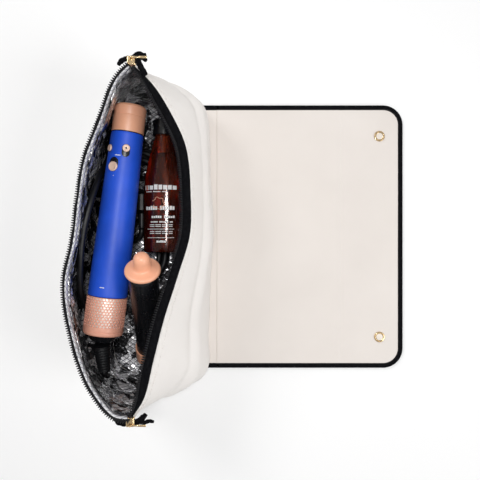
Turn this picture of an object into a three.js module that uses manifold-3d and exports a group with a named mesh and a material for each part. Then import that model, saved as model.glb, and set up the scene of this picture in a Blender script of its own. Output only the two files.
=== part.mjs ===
// A heat-proof travel pouch, open, with a hot-air styler, its attachments, its cord and a pump bottle inside.
// Millimetres, +Z up. The origin is the middle of the pouch's base, on the ground; +Y is the pouch's length.
import * as THREE from 'three';
import { mergeVertices } from 'three/addons/utils/BufferGeometryUtils.js';
import Module from 'manifold-3d';

const wasm = await Module();
wasm.setup();

// ---------------------------------------------------------------- driving dimensions
const GAP = 0.3;                       // clearance between neighbouring pieces
const POUCH = { height: 146, fabric: 2.4, lining: 1.1, floor: 3, board: 2, seamX: -6, levels: 7, steps: 2 };
const FLAP = {
  rootX: 69.5, hingeX: 76, fold: 164, length: 246, bottomY: -169, topY: 178,
  thick: 3, binding: 6.5, corner: 26,
};
const SNAP = { radius: 7, height: 1.8, inset: 31, endInset: 41 };
const STYLER = {
  cage: [-51.8, -108.6, 88], head: [-19.2, 155, 88],
  cageRadius: 23, bodyRadius: 22.4, headRadius: 18.4, wall: 1.8,
  cageLength: 44, headLength: 32,
};
const POWER = { angle: 15, along: 214, radius: 4.2, slot: 15 };
const HEAT = { angle: -22.5, along: 192, radius: 5.5, slot: 17 };
const COOL = { angle: -51, along: 213, radius: 3.8 };
const BARREL = { tip: [4, -32.3, 140], tilt: 49, heading: 3.7, radius: 16, length: 148, wall: 2, flange: 19.2 };
const SPARE = { x: 37, z: 23.5, radius: 16.5, from: -30, collar: 98, to: 119, wall: 2 };
const BOTTLE = { x: 15, y: -12, z: 61, half: 24, deep: 16, shoulder: 140, wall: 1.4, collar: 13.4 };
const CORD = { radius: 3.75, hankX: -19, hankY: 32, run: 105, inner: 23, pitch: 7.6, layers: 3 };

// ---------------------------------------------------------------- colours
const finish = (color, roughness, metalness = 0) => ({ color, roughness, metalness });
const LOOK = {
  cream: finish(0xebe4de, 0.9),
  foil: finish(0xc9c9cd, 0.25, 0.9),
  black: finish(0x17171b, 0.7),
  gold: finish(0xc9a667, 0.3, 1),
  blue: finish(0x2448b8, 0.4),
  copper: finish(0xd98a63, 0.4, 0.6),
  steel: finish(0x9a9ca0, 0.4, 0.9),
  board: finish(0x2f6a4a, 0.6),
  amber: finish(0x5c2417, 0.15),
  label: finish(0xe8e6e2, 0.6),
};

const object = new THREE.Group();

// ---------------------------------------------------------------- helpers
function mesh(name, geometry, look, parent = object) {
  const made = new THREE.Mesh(geometry, new THREE.MeshStandardMaterial(look));
  made.name = name;
  parent.add(made);
  return made;
}

function toSolid(geometry) {
  const bare = geometry.clone();
  bare.deleteAttribute('normal');
  bare.deleteAttribute('uv');
  const merged = mergeVertices(bare, 1e-4);
  const vertProperties = new Float32Array(merged.attributes.position.array);
  const triVerts = new Uint32Array(merged.index.array);
  return new wasm.Manifold(new wasm.Mesh({ numProp: 3, vertProperties, triVerts }));
}

function toGeometry(solid) {
  const { vertProperties, triVerts } = solid.getMesh();
  const geometry = new THREE.BufferGeometry();
  geometry.setAttribute('position', new THREE.BufferAttribute(new Float32Array(vertProperties), 3));
  geometry.setIndex(new THREE.BufferAttribute(new Uint32Array(triVerts), 1));
  return geometry;
}

function cut(geometry, ...tools) {
  return toGeometry(tools.reduce((left, tool) => left.subtract(toSolid(tool)), toSolid(geometry)));
}

function join(geometry, ...others) {
  return toGeometry(others.reduce((whole, other) => whole.add(toSolid(other)), toSolid(geometry)));
}

function keep(geometry, tool) {
  return toGeometry(toSolid(geometry).intersect(toSolid(tool)));
}

function box(low, high) {
  const size = high.map((value, axis) => value - low[axis]);
  const geometry = new THREE.BoxGeometry(...size);
  return geometry.translate(...low.map((value, axis) => value + size[axis] / 2));
}

// A solid of revolution about local Z from [radius, z] points; a profile off the axis closes on itself.
function turned(profile, sides = 32) {
  const closed = profile[0][0] > 0 ? [...profile, profile[0]] : profile;
  const points = closed.map(([radius, z]) => new THREE.Vector2(radius, z));
  return new THREE.LatheGeometry(points, sides).rotateX(Math.PI / 2);
}

// A solid between rings of points, each ring listed counter-clockwise, from the lowest to the highest.
function loft(rings) {
  const count = rings[0].length;
  const positions = rings.flat().flatMap((point) => point.toArray());
  const index = [];
  for (let level = 0; level + 1 < rings.length; level += 1) {
    for (let k = 0; k < count; k += 1) {
      const next = (k + 1) % count;
      const [a, b] = [level * count + k, level * count + next];
      index.push(a, b, b + count, a, b + count, a + count);
    }
  }
  const flat = (ring) => ring.map((point) => new THREE.Vector2(point.x, point.y));
  const top = (rings.length - 1) * count;
  for (const [a, b, c] of THREE.ShapeUtils.triangulateShape(flat(rings[0]), [])) index.push(c, b, a);
  for (const [a, b, c] of THREE.ShapeUtils.triangulateShape(flat(rings.at(-1)), [])) {
    index.push(top + a, top + b, top + c);
  }
  const geometry = new THREE.BufferGeometry();
  geometry.setAttribute('position', new THREE.Float32BufferAttribute(positions, 3));
  geometry.setIndex(index);
  return geometry;
}

// A bar along stations, each a ring of points round the same outline, with both ends closed by fans.
function bar(stations) {
  const count = stations[0].length;
  const positions = stations.flat().flatMap((point) => point.toArray());
  const index = [];
  for (let step = 0; step + 1 < stations.length; step += 1) {
    for (let k = 0; k < count; k += 1) {
      const next = (k + 1) % count;
      const [a, b] = [step * count + k, step * count + next];
      index.push(a, b, b + count, a, b + count, a + count);
    }
  }
  const last = (stations.length - 1) * count;
  for (let k = 1; k + 1 < count; k += 1) {
    index.push(0, k + 1, k);
    index.push(last, last + k, last + k + 1);
  }
  const geometry = new THREE.BufferGeometry();
  geometry.setAttribute('position', new THREE.Float32BufferAttribute(positions, 3));
  geometry.setIndex(index);
  return geometry;
}

const radians = THREE.MathUtils.degToRad;

// ---------------------------------------------------------------- pouch shape
// Three plan outlines, from the seam at the -Y end to the seam at the +Y end, front (-X) and back (+X):
// the base on the ground, the pull of the bulging side, and the mouth at the zip.
const FRONT = {
  base: [[-6, -178], [-34, -177], [-55, -163], [-60, -115], [-61, -50], [-61, 0], [-61, 45], [-60, 95],
    [-57, 145], [-36, 177], [-6, 178]],
  belly: [[-6, -198], [-36, -194], [-84, -170], [-106, -115], [-104, -48], [-100, 0], [-94, 42], [-80, 90],
    [-62, 140], [-30, 186], [-6, 196]],
  mouth: [[-6, -187], [-24, -184], [-49, -154], [-66, -109], [-76, -47], [-67, 0], [-62, 41], [-55, 83],
    [-39, 125], [-23, 166], [-6, 185]],
};
const BACK = {
  base: [[-6, -178], [38, -177], [60, -166], [64, -115], [66, -50], [67, 0], [66, 45], [64, 95],
    [61, 162], [38, 177], [-6, 178]],
  belly: [[-6, -196], [34, -194], [74, -178], [80, -112], [82, -50], [85, 0], [84, 45], [81, 95],
    [74, 170], [34, 196], [-6, 196]],
  mouth: [[-6, -187], [7, -166], [17, -126], [28, -83], [43, -36], [55, 5], [56, 45], [51, 97],
    [34, 135], [16, 163], [-6, 185]],
};

const curve = (points) => new THREE.CatmullRomCurve3(points.map(([x, y]) => new THREE.Vector3(x, y, 0)));
const outline = (side) => {
  const curves = { base: curve(side.base), belly: curve(side.belly), mouth: curve(side.mouth) };
  return (s, v) => {
    const [low, mid, high] = [curves.base.getPoint(s), curves.belly.getPoint(s), curves.mouth.getPoint(s)];
    return low.multiplyScalar((1 - v) ** 2).addScaledVector(mid, 2 * v * (1 - v)).addScaledVector(high, v * v);
  };
};
const frontAt = outline(FRONT);
const backAt = outline(BACK);

// One ring round the pouch at height fraction v, moved inwards by inset.
function pouchRing(v, inset, z = v * POUCH.height) {
  const spans = (FRONT.base.length - 1) * POUCH.steps;
  const points = [];
  for (let k = 0; k < spans; k += 1) points.push(backAt(k / spans, v));
  for (let k = 0; k < spans; k += 1) points.push(frontAt(1 - k / spans, v));
  return points.map((point, k) => {
    const before = points[(k + points.length - 1) % points.length];
    const after = points[(k + 1) % points.length];
    const along = after.clone().sub(before).normalize();
    return new THREE.Vector3(point.x - along.y * inset, point.y + along.x * inset, z);
  });
}

function pouchSolid(inset, lift = 0, above = 0) {
  const rings = [];
  for (let level = 0; level <= POUCH.levels; level += 1) {
    const v = level / POUCH.levels;
    rings.push(pouchRing(v, inset, Math.max(v * POUCH.height, level ? 0 : lift)));
  }
  if (above) rings.push(pouchRing(1, inset, POUCH.height + above));
  return loft(rings);
}

const WIDE = 300;
const frontHalf = box([-WIDE, -WIDE, -10], [POUCH.seamX - GAP / 2, WIDE, WIDE]);
const backHalf = box([POUCH.seamX + GAP / 2, -WIDE, -10], [WIDE, WIDE, WIDE]);
const slab = (low, high) => box([-WIDE, -WIDE, low], [WIDE, WIDE, high]);

// Fabric walls, foil lining, floor and floor board.
function pouch() {
  const liningInset = POUCH.fabric + GAP;
  const inside = liningInset + POUCH.lining;
  const fabric = cut(pouchSolid(0), pouchSolid(POUCH.fabric, 0, 20), slab(-10, POUCH.floor + GAP));
  mesh('front_panel', keep(fabric, frontHalf), LOOK.cream);
  mesh('back_panel', keep(fabric, backHalf), LOOK.cream);
  mesh('base_panel', keep(pouchSolid(0), slab(-10, POUCH.floor)), LOOK.cream);
  const floorTop = POUCH.floor + GAP + POUCH.board;
  mesh('base_board', keep(pouchSolid(liningInset + 4), slab(POUCH.floor + GAP, floorTop)), LOOK.black);
  const liningLow = floorTop + GAP + POUCH.lining;
  const foil = cut(pouchSolid(liningInset), pouchSolid(inside, 0, 20), slab(-10, liningLow + GAP));
  mesh('front_lining', keep(foil, frontHalf), LOOK.foil);
  mesh('back_lining', keep(foil, backHalf), LOOK.foil);
  mesh('base_lining', keep(pouchSolid(liningInset), slab(floorTop + GAP, liningLow)), LOOK.foil);
}

// ---------------------------------------------------------------- zip
// A strip along one rim: profile gives [inward, z] corners for the share of the way in from the zip's ends.
function rimStrip(sideAt, inward, profile, from, to, steps) {
  const stations = [];
  for (let k = 0; k <= steps; k += 1) {
    const s = from + (to - from) * (k / steps);
    const here = sideAt(s, 1);
    const along = sideAt(Math.min(s + 0.01, 1), 1).sub(sideAt(Math.max(s - 0.01, 0), 1)).normalize();
    const spread = THREE.MathUtils.smoothstep(Math.min(k, steps - k) / steps, 0, 0.16);
    stations.push(profile(spread).map(([depth, z]) => new THREE.Vector3(
      here.x - along.y * depth * inward, here.y + along.x * depth * inward, z)));
  }
  return bar(inward < 0 ? stations.map((ring) => [...ring].reverse()) : stations);
}

const RIM = POUCH.height + GAP;
const frontTape = () => [[0.4, RIM], [2.2, RIM], [1.4, RIM + 8.5], [-0.4, RIM + 8.5]];
const frontTeeth = () => [[-1.2, RIM + 8.8], [2.2, RIM + 8.8], [2.2, RIM + 11.6], [-1.2, RIM + 11.6]];
const backTape = (spread) => {
  const reach = 2.5 + 6.5 * spread;
  const rise = RIM + 6 - 2 * spread;
  return [[0.3, RIM], [2, RIM], [reach, rise], [reach, rise + 1.6], [0.3, RIM + 1.8]];
};
const backTeeth = (spread) => {
  const reach = 2.8 + 6.5 * spread;
  const rise = RIM + 5.4 - 2 * spread;
  return [[reach, rise], [reach + 3, rise], [reach + 3, rise + 3], [reach, rise + 3]];
};

const ZIP_END = { top: [-6, 186], bottom: [-7, -189] };

// The slider at one end of the mouth, its swinging pull, and the folded tail of the tape beyond it.
function zipEnd(label, [x, y], out) {
  const z = RIM + 0.2;
  const bodyLow = [x - 4.5, y - 5, z];
  const bodyHigh = [x + 4.5, y + 5, z + 5.5];
  const across = ([near, far]) => (out > 0 ? [near, far] : [-far, -near]).map((value) => y + value);
  const [bridgeLow, bridgeHigh] = across([1.2, 4.4]);
  const bridge = box([x - 1.6, bridgeLow, z + 4], [x + 1.6, bridgeHigh, z + 8.6]);
  mesh(`zip_slider_${label}`, join(box(bodyLow, bodyHigh), bridge), LOOK.gold);
  const [tailLow, tailHigh] = across([5.6, 10.5]);
  mesh(`zip_tail_${label}`, box([x - 13, tailLow, z - 2], [x + 15, tailHigh, z + 1.6]), LOOK.black);
  const [pullLow, pullHigh] = across([1.6, 4]);
  mesh(`zip_pull_${label}`, box([x + 1.9, pullLow, z + 5.9], [x + 17, pullHigh, z + 7.4]), LOOK.gold);
}

function zip() {
  const steps = 32;
  mesh('zip_tape_front', rimStrip(frontAt, -1, frontTape, 0.05, 0.95, steps), LOOK.black);
  mesh('zip_teeth_front', rimStrip(frontAt, -1, frontTeeth, 0.05, 0.95, steps), LOOK.black);
  mesh('zip_tape_back', rimStrip(backAt, 1, backTape, 0.06, 0.94, steps), LOOK.black);
  mesh('zip_teeth_back', rimStrip(backAt, 1, backTeeth, 0.06, 0.94, steps), LOOK.black);
  zipEnd('top', ZIP_END.top, 1);
  zipEnd('bottom', ZIP_END.bottom, -1);
}

// ---------------------------------------------------------------- flap
// A flat plate with optional round corners at its +X end.
function plate(x0, x1, y0, y1, z0, z1, corner = 0) {
  const shape = new THREE.Shape();
  shape.moveTo(x0, y0);
  shape.lineTo(x1 - corner, y0);
  if (corner) shape.absarc(x1 - corner, y0 + corner, corner, -Math.PI / 2, 0);
  else shape.lineTo(x1, y0);
  shape.lineTo(x1, y1 - corner);
  if (corner) shape.absarc(x1 - corner, y1 - corner, corner, 0, Math.PI / 2);
  shape.lineTo(x0, y1);
  const geometry = new THREE.ExtrudeGeometry(shape, { depth: z1 - z0, bevelEnabled: false, curveSegments: 8 });
  return geometry.translate(0, 0, z0);
}

// The heat mat: sewn to the back of the pouch, folding at its foot and again at the height of the mouth.
function flap() {
  const { hingeX, fold, length, bottomY, topY, thick, binding, corner } = FLAP;
  const [lowY, highY] = [bottomY + binding, topY - binding];
  const foldX = hingeX + fold;
  const endX = hingeX + length;
  const edgeTop = thick + 0.8;
  mesh('flap_root', box([FLAP.rootX, bottomY, 0], [hingeX - GAP, topY, thick - 0.2]), LOOK.cream);
  mesh('flap_lower', box([hingeX, lowY + GAP, 0], [foldX - 1.5, highY - GAP, thick]), LOOK.cream);
  mesh('binding_bottom', box([hingeX, bottomY, 0], [foldX - 1.5, lowY, edgeTop]), LOOK.black);
  mesh('binding_top', box([hingeX, highY, 0], [foldX - 1.5, topY, edgeTop]), LOOK.black);
  const inner = endX - binding;
  const upper = plate(foldX + 1.5, inner - GAP, lowY + GAP, highY - GAP, 0, thick, corner - binding);
  mesh('flap_upper', upper, LOOK.cream);
  const frame = cut(
    plate(foldX + 1.5, endX, bottomY, topY, 0, edgeTop, corner),
    plate(foldX - 10, inner, lowY, highY, -5, edgeTop + 5, corner - binding + GAP),
  );
  mesh('binding_end', frame, LOOK.black);
  for (const [label, y] of [['top', topY - SNAP.endInset], ['bottom', bottomY + SNAP.endInset]]) {
    const cap = turned([[0, 0], [SNAP.radius, 0], [SNAP.radius, 1], [5.4, SNAP.height], [0, SNAP.height]], 20);
    mesh(`snap_cap_${label}`, cap, LOOK.gold).position.set(endX - SNAP.inset, y, thick + GAP);
  }
}

// The snap's other half on the front panel, flat against the fabric.
function snapSocket(label, y) {
  const v = 0.55;
  let s = 0.5;
  for (let step = 0.25; step > 0.0005; step /= 2) s += frontAt(s, v).y < y ? step : -step;
  const here = frontAt(s, v);
  const along = frontAt(s + 0.01, v).sub(frontAt(s - 0.01, v));
  const up = frontAt(s, v + 0.02).sub(frontAt(s, v - 0.02)).setZ(0.04 * POUCH.height);
  const out = along.cross(up).normalize();
  const ring = turned([[0, 0], [SNAP.radius - 1, 0], [SNAP.radius - 1, 1.6], [2, 1.6], [2, 0.8], [0, 0.8]], 20);
  const socket = mesh(`snap_socket_${label}`, ring, LOOK.gold);
  socket.quaternion.setFromUnitVectors(new THREE.Vector3(0, 0, 1), out.x < 0 ? out : out.negate());
  socket.position.set(here.x, here.y, v * POUCH.height).addScaledVector(out, 0.9);
}

// ---------------------------------------------------------------- hot-air styler
// Its own frame has +Z from the filter cage to the head, +X up to the switches and +Y to the pouch's +X.
const stylerGroup = new THREE.Group();
const tail = new THREE.Vector3(...STYLER.cage);
const nose = new THREE.Vector3(...STYLER.head);
const stylerLength = tail.distanceTo(nose);
{
  const along = nose.clone().sub(tail).normalize();
  const up = new THREE.Vector3(0, 0, 1);
  const side = along.clone().cross(up);
  stylerGroup.quaternion.setFromRotationMatrix(new THREE.Matrix4().makeBasis(up, side, along));
  stylerGroup.position.copy(tail);
}
object.add(stylerGroup);

const RELIEF = { length: 33, rings: 5, tipRadius: 7.4, grow: 0.6 };
const reliefWay = new THREE.Vector3(0.03, -0.94, -0.26).normalize();
const reliefTip = tail.clone().addScaledVector(nose.clone().sub(tail).normalize(), -12.4)
  .addScaledVector(reliefWay, RELIEF.length);

const shellEnd = stylerLength - STYLER.headLength;
const bodyRadius = (z) => THREE.MathUtils.mapLinear(z, STYLER.cageLength, shellEnd, STYLER.bodyRadius,
  STYLER.headRadius);

// Moves a piece made about the Z axis, with its top towards +X, to a place on the styler's skin.
function onSkin(geometry, control) {
  return geometry.translate(bodyRadius(control.along), 0, 0)
    .rotateZ(radians(control.angle)).translate(0, 0, control.along);
}

const disc = (radius, low, high) => new THREE.CylinderGeometry(radius, radius, high - low, 20)
  .rotateZ(-Math.PI / 2).translate((low + high) / 2, 0, 0);

function stylerShells() {
  const { wall, cageRadius, cageLength, headRadius } = STYLER;
  const start = cageLength + GAP;
  const slots = [POWER, HEAT].map((control, k) => {
    const half = control.radius + GAP;
    const ahead = k ? 0 : control.slot - 2 * half;
    const behind = k ? control.slot - 2 * half : 0;
    const travel = box([-8, -half, -half - ahead], [8, half, half + behind]);
    return onSkin(travel, control);
  });
  const hole = onSkin(disc(COOL.radius + GAP, -8, 8), COOL);
  const outer = turned([[bodyRadius(start) - wall, start], [bodyRadius(start), start],
    [bodyRadius(shellEnd), shellEnd - GAP], [bodyRadius(shellEnd) - wall, shellEnd - GAP]], 40);
  mesh('handle_shell', cut(outer, ...slots, hole), LOOK.blue, stylerGroup);
  mesh('filter_cage', turned([[13, 0], [cageRadius - 2, 0], [cageRadius, 3], [cageRadius, cageLength],
    [cageRadius - wall, cageLength], [cageRadius - wall, 3.5], [13, 2]], 40), LOOK.copper, stylerGroup);
  const headStart = shellEnd + GAP;
  mesh('head_sleeve', turned([[headRadius - wall, headStart], [headRadius, headStart],
    [headRadius, stylerLength - 2.5], [headRadius - 2.5, stylerLength], [headRadius - 4, stylerLength],
    [headRadius - wall, stylerLength - 4]], 36), LOOK.copper, stylerGroup);
}

// A round button with a skirt, standing proud of the skin.
function button(name, control, proud, depth) {
  mesh(name, onSkin(disc(control.radius, -depth, proud), control), LOOK.copper, stylerGroup);
}

function stylerInside() {
  const filterStart = 4.2;
  mesh('inner_filter', turned([[15, filterStart], [17.5, filterStart], [17.5, 40], [15, 40]], 28), LOOK.black,
    stylerGroup);
  mesh('motor_mount', turned([[12.3, 52], [19.6, 52], [19.6, 58], [12.3, 58]], 28), LOOK.black, stylerGroup);
  mesh('motor_housing', turned([[10, 50], [12, 50], [12, 78], [10, 78]], 28), LOOK.steel, stylerGroup);
  const hub = turned([[0, 58.4], [4, 58.4], [4, 68], [2.2, 72], [0, 72]], 16);
  const blades = [];
  for (let k = 0; k < 7; k += 1) {
    const blade = box([2, -0.5, 60], [9.2, 0.5, 66]).rotateZ((k * 2 * Math.PI) / 7);
    blades.push(blade);
  }
  mesh('impeller', join(hub, ...blades), LOOK.steel, stylerGroup);
  mesh('stator', turned([[0, 46], [7, 46], [7, 57], [0, 57]], 16), LOOK.steel, stylerGroup);
  mesh('circuit_board', box([-9, -14, 92], [-7.4, 14, 168]), LOOK.board, stylerGroup);
  const core = turned([[0, 172], [3, 172], [3, 222], [0, 222]], 12);
  const fins = [];
  for (let k = 0; k < 6; k += 1) fins.push(box([0, -0.6, 174], [11, 0.6, 220]).rotateZ((k * Math.PI) / 3 + 0.9));
  mesh('heater_core', join(core, ...fins), LOOK.steel, stylerGroup);
  mesh('outlet_grille', turned([[0, shellEnd + 3], [14.8, shellEnd + 3], [14.8, shellEnd + 5], [0, shellEnd + 5]],
    28), LOOK.black, stylerGroup);
}

function styler() {
  stylerShells();
  stylerInside();
  button('power_slider', POWER, 1.6, 1.4);
  button('temperature_slider', HEAT, 1.6, 1.4);
  button('cool_shot_button', COOL, 1.8, 1.4);
  mesh('cable_gland', turned([[0, -9], [10.6, -9], [12.4, -7], [12.4, 3.9], [0, 3.9]], 28),
    LOOK.black, stylerGroup);
  const endRing = turned([[12.9, -6], [14, -6], [17.2, -0.4], [12.9, -0.4]], 28);
  mesh('cage_end_ring', endRing, LOOK.black, stylerGroup);
  strainRelief();
}

// The ribbed sleeve droops a little from the gland; its own frame has +Z from its tip to the gland.
function strainRelief() {
  const { length, rings, tipRadius, grow } = RELIEF;
  const pitch = length / (rings + 0.5);
  const profile = [[0, 0]];
  for (let ring = 0; ring < rings; ring += 1) {
    const [z, radius] = [ring * pitch, tipRadius + ring * grow];
    profile.push([radius, z], [radius, z + pitch * 0.7], [radius - 1.2, z + pitch * 0.8]);
  }
  profile.push([10.2, length], [0, length]);
  const relief = mesh('strain_relief', turned(profile, 16), LOOK.black);
  relief.quaternion.setFromUnitVectors(new THREE.Vector3(0, 0, 1), reliefWay.clone().negate());
  relief.position.copy(reliefTip);
}

// ---------------------------------------------------------------- attachments
// The long curling barrel leans over the styler's foot, with its cool tip up.
function barrel() {
  const group = new THREE.Group();
  group.rotation.set(-radians(BARREL.tilt), 0, -radians(BARREL.heading), 'ZXY');
  group.position.set(...BARREL.tip);
  object.add(group);
  const { radius, length, wall, flange } = BARREL;
  mesh('barrel_tube', turned([[radius - wall, -length], [radius, -length], [radius, -4], [0, -4], [0, -6],
    [radius - wall, -6]], 28), LOOK.black, group);
  mesh('barrel_collar', turned([[radius + GAP, -length], [radius + 2, -length], [radius + 2, -length + 20],
    [radius + GAP, -length + 20]], 28), LOOK.copper, group);
  mesh('cool_tip', turned([[0, -3.7], [flange - 4, -3.7], [flange, -1], [flange, 2.2], [flange - 2, 3.4],
    [9.4, 4.4], [9, 6], [9, 16], [7.4, 20.4], [4, 22.8], [0, 23.4]], 32), LOOK.copper, group);
}

// The shorter one lies along the back wall with its copper collar towards the top.
function spareAttachment() {
  const group = new THREE.Group();
  group.rotation.x = -Math.PI / 2;
  group.position.set(SPARE.x, SPARE.from, SPARE.z);
  object.add(group);
  const { radius, wall, from, collar, to } = SPARE;
  const tube = collar - from - GAP;
  mesh('spare_barrel', turned([[0, 0], [radius - 2, 0], [radius, 2], [radius, tube], [radius - wall, tube],
    [radius - wall, 3], [0, 3]], 28), LOOK.black, group);
  mesh('spare_collar', turned([[radius - wall, collar - from], [radius, collar - from], [radius, to - from],
    [radius - wall, to - from]], 28), LOOK.copper, group);
}

// ---------------------------------------------------------------- pump bottle
const ovalRing = (half, deep, z, count = 28) => Array.from({ length: count }, (_, k) => {
  const angle = (k / count) * 2 * Math.PI;
  return new THREE.Vector3(half * Math.cos(angle), deep * Math.sin(angle), z);
});

// It lies on its back; its own +Z runs from the base to the pump and +Y faces up.
function bottle() {
  const group = new THREE.Group();
  group.rotation.set(Math.PI / 2, Math.PI, 0);
  group.position.set(BOTTLE.x, BOTTLE.y, BOTTLE.z);
  object.add(group);
  const { half, deep, shoulder, wall, collar } = BOTTLE;
  // The long shoulders narrow faster across than in depth.
  const skin = [[0, 0.01], [62, -0.5], [84, 1], [99, 3.6], [114, 7], [129, 11.2], [134, 13.2]];
  const ring = (z, narrowing, inset) => ovalRing(half - narrowing - inset, deep - 0.42 * narrowing - inset, z);
  const hollow = skin.map(([z, narrowing], k) => ring(k ? z : wall, narrowing, wall));
  hollow.push(ovalRing(8.2, 8.2, shoulder + 8));
  const solid = skin.map(([z, narrowing]) => ring(z, narrowing, 0));
  solid.unshift(ovalRing(half - 3, deep - 3, -3));
  solid.push(ovalRing(10, 10, shoulder - 3), ovalRing(10, 10, shoulder + 4));
  mesh('bottle_body', cut(loft(solid), loft(hollow)), LOOK.amber, group);
  const top = shoulder + 16;
  mesh('pump_collar', turned([[10.4, shoulder - 2], [collar, shoulder - 2], [collar, top], [4.6, top],
    [4.6, shoulder + 12], [10.4, shoulder + 12]], 28), LOOK.black, group);
  mesh('pump_actuator', turned([[0, top - 8], [4.2, top - 8], [4.2, top + 6], [7.5, top + 7], [7.5, top + 12],
    [6, top + 13.4], [0, top + 13.4]], 24), LOOK.black, group);
  const tube = turned([[1.4, 6], [2.2, 6], [2.2, shoulder + 2], [1.4, shoulder + 2]], 10);
  mesh('dip_tube', tube, LOOK.label, group);
}

// ---------------------------------------------------------------- cord
const HANK_LOW = POUCH.floor + POUCH.board + POUCH.lining + 2 * GAP + 2;

// From the strain relief along the front wall, up beside the styler and down to the hank beneath it.
const leadPoint = (distance) => reliefTip.clone().addScaledVector(reliefWay, distance).toArray();
const LEAD = [leadPoint(GAP), leadPoint(5), [-52, -162, 65], [-54, -160, 55], [-60, -148, 47],
  [-68, -128, 46], [-74, -96, 58],
  [-77, -60, 88], [-73, -24, 104], [-68, 12, 108], [-61, 44, 104], [-56, 72, 88], [-54, 92, 64],
  [-50, 107, 48], [-41, 108, 40], [-30, 103, 36.2]];

function cord() {
  const points = LEAD.map((point) => new THREE.Vector3(...point));
  const path = new THREE.CatmullRomCurve3(points, false, 'centripetal');
  const sides = Array.from({ length: 8 }, (_, k) => new THREE.Vector2(CORD.radius, 0)
    .rotateAround(new THREE.Vector2(), (k * Math.PI) / 4));
  const lead = new THREE.ExtrudeGeometry(new THREE.Shape(sides), { steps: 40, extrudePath: path });
  mesh('cord_lead', lead, LOOK.black);
  const { radius, run, inner, pitch, layers, hankX, hankY } = CORD;
  const stadium = (r, target) => {
    target.absarc(0, run / 2, r, 0, Math.PI);
    target.absarc(0, -run / 2, r, Math.PI, 2 * Math.PI);
    target.closePath();
    return target;
  };
  const ring = stadium(inner + pitch + radius, new THREE.Shape());
  ring.holes.push(stadium(inner - radius, new THREE.Path()));
  const hank = new THREE.ExtrudeGeometry(ring, { depth: layers * pitch, bevelEnabled: false, curveSegments: 8 });
  mesh('cord_hank', hank, LOOK.black).position.set(hankX, hankY, HANK_LOW);
}

// The strap round one run of the hank, and the plug lying in the hank's middle.
function cordEnds() {
  const { radius, inner, pitch, layers, hankX, hankY } = CORD;
  const low = HANK_LOW;
  const high = low + layers * pitch;
  const [left, right] = [hankX - inner - pitch - radius, hankX - inner + radius];
  const tieY = hankY - 34;
  const strap = cut(
    box([left - 1.5, tieY - 7, low - 1.6], [right + 1.5, tieY + 7, high + 1.6]),
    box([left - GAP, tieY - 20, low - GAP], [right + GAP, tieY + 20, high + GAP]),
  );
  mesh('cord_tie', strap, LOOK.black);
  const body = turned([[0, -22], [4.6, -22], [5.4, -4], [13, 0], [13, 20], [11, 22], [0, 22]], 24);
  const pins = [-7, 7].map((x) => new THREE.CylinderGeometry(2.2, 2.2, 22, 12)
    .rotateX(Math.PI / 2).translate(x, 0, 32));
  const plug = mesh('plug', join(body, ...pins), LOOK.black);
  plug.rotation.x = -Math.PI / 2;
  plug.position.set(hankX, hankY + 6, low + 13.2);
}

// ---------------------------------------------------------------- assembly
pouch();
zip();
flap();
snapSocket('top', FLAP.topY - SNAP.endInset);
snapSocket('bottom', FLAP.bottomY + SNAP.endInset);
styler();
barrel();
spareAttachment();
bottle();
cord();
cordEnds();

export default object;
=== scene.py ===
"""An open heat-proof travel pouch with a hot-air styler set inside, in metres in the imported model's frame."""
import math

import bmesh
import bpy
from mathutils import Matrix, Vector, noise


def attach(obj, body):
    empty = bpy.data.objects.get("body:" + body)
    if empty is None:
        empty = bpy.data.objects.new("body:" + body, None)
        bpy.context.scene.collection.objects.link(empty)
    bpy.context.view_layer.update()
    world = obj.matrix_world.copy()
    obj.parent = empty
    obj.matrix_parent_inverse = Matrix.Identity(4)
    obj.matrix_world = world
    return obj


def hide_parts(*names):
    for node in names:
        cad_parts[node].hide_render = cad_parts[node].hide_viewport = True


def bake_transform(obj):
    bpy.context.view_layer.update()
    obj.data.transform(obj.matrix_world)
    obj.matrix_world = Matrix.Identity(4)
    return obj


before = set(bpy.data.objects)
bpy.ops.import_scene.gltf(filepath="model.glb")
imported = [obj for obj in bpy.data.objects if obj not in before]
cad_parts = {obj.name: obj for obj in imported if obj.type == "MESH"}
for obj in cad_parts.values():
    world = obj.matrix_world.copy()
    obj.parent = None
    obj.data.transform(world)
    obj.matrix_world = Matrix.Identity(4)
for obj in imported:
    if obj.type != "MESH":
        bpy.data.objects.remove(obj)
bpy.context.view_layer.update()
MM = 0.001
scene = bpy.context.scene
UP = Vector((0, 0, 1))


# ---------------------------------------------------------------- camera, floor and light
def make_camera():
    data = bpy.data.cameras.new("camera")
    data.lens = 39.0
    data.sensor_width = 36.0
    camera = bpy.data.objects.new("camera", data)
    camera.location = (0.107, 0.0, 0.690)
    scene.collection.objects.link(camera)
    scene.camera = camera


def make_floor():
    mesh = bpy.data.meshes.new("floor")
    half = 3.0
    corners = [(-half, -half, 0), (half, -half, 0), (half, half, 0), (-half, half, 0)]
    mesh.from_pydata(corners, [], [(0, 1, 2, 3)])
    floor = bpy.data.objects.new("floor", mesh)
    floor.location.z = -0.0004
    scene.collection.objects.link(floor)
    material = bpy.data.materials.new("floor")
    material.use_nodes = True
    shader = material.node_tree.nodes["Principled BSDF"]
    shader.inputs["Base Color"].default_value = (0.97, 0.97, 0.97, 1)
    shader.inputs["Roughness"].default_value = 0.9
    mesh.materials.append(material)


def area_light(name, place, aim, size, power):
    data = bpy.data.lights.new(name, "AREA")
    data.size = size
    data.energy = power
    light = bpy.data.objects.new(name, data)
    light.location = place
    light.rotation_euler = (Vector(aim) - Vector(place)).to_track_quat("-Z", "Y").to_euler()
    scene.collection.objects.link(light)


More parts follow.
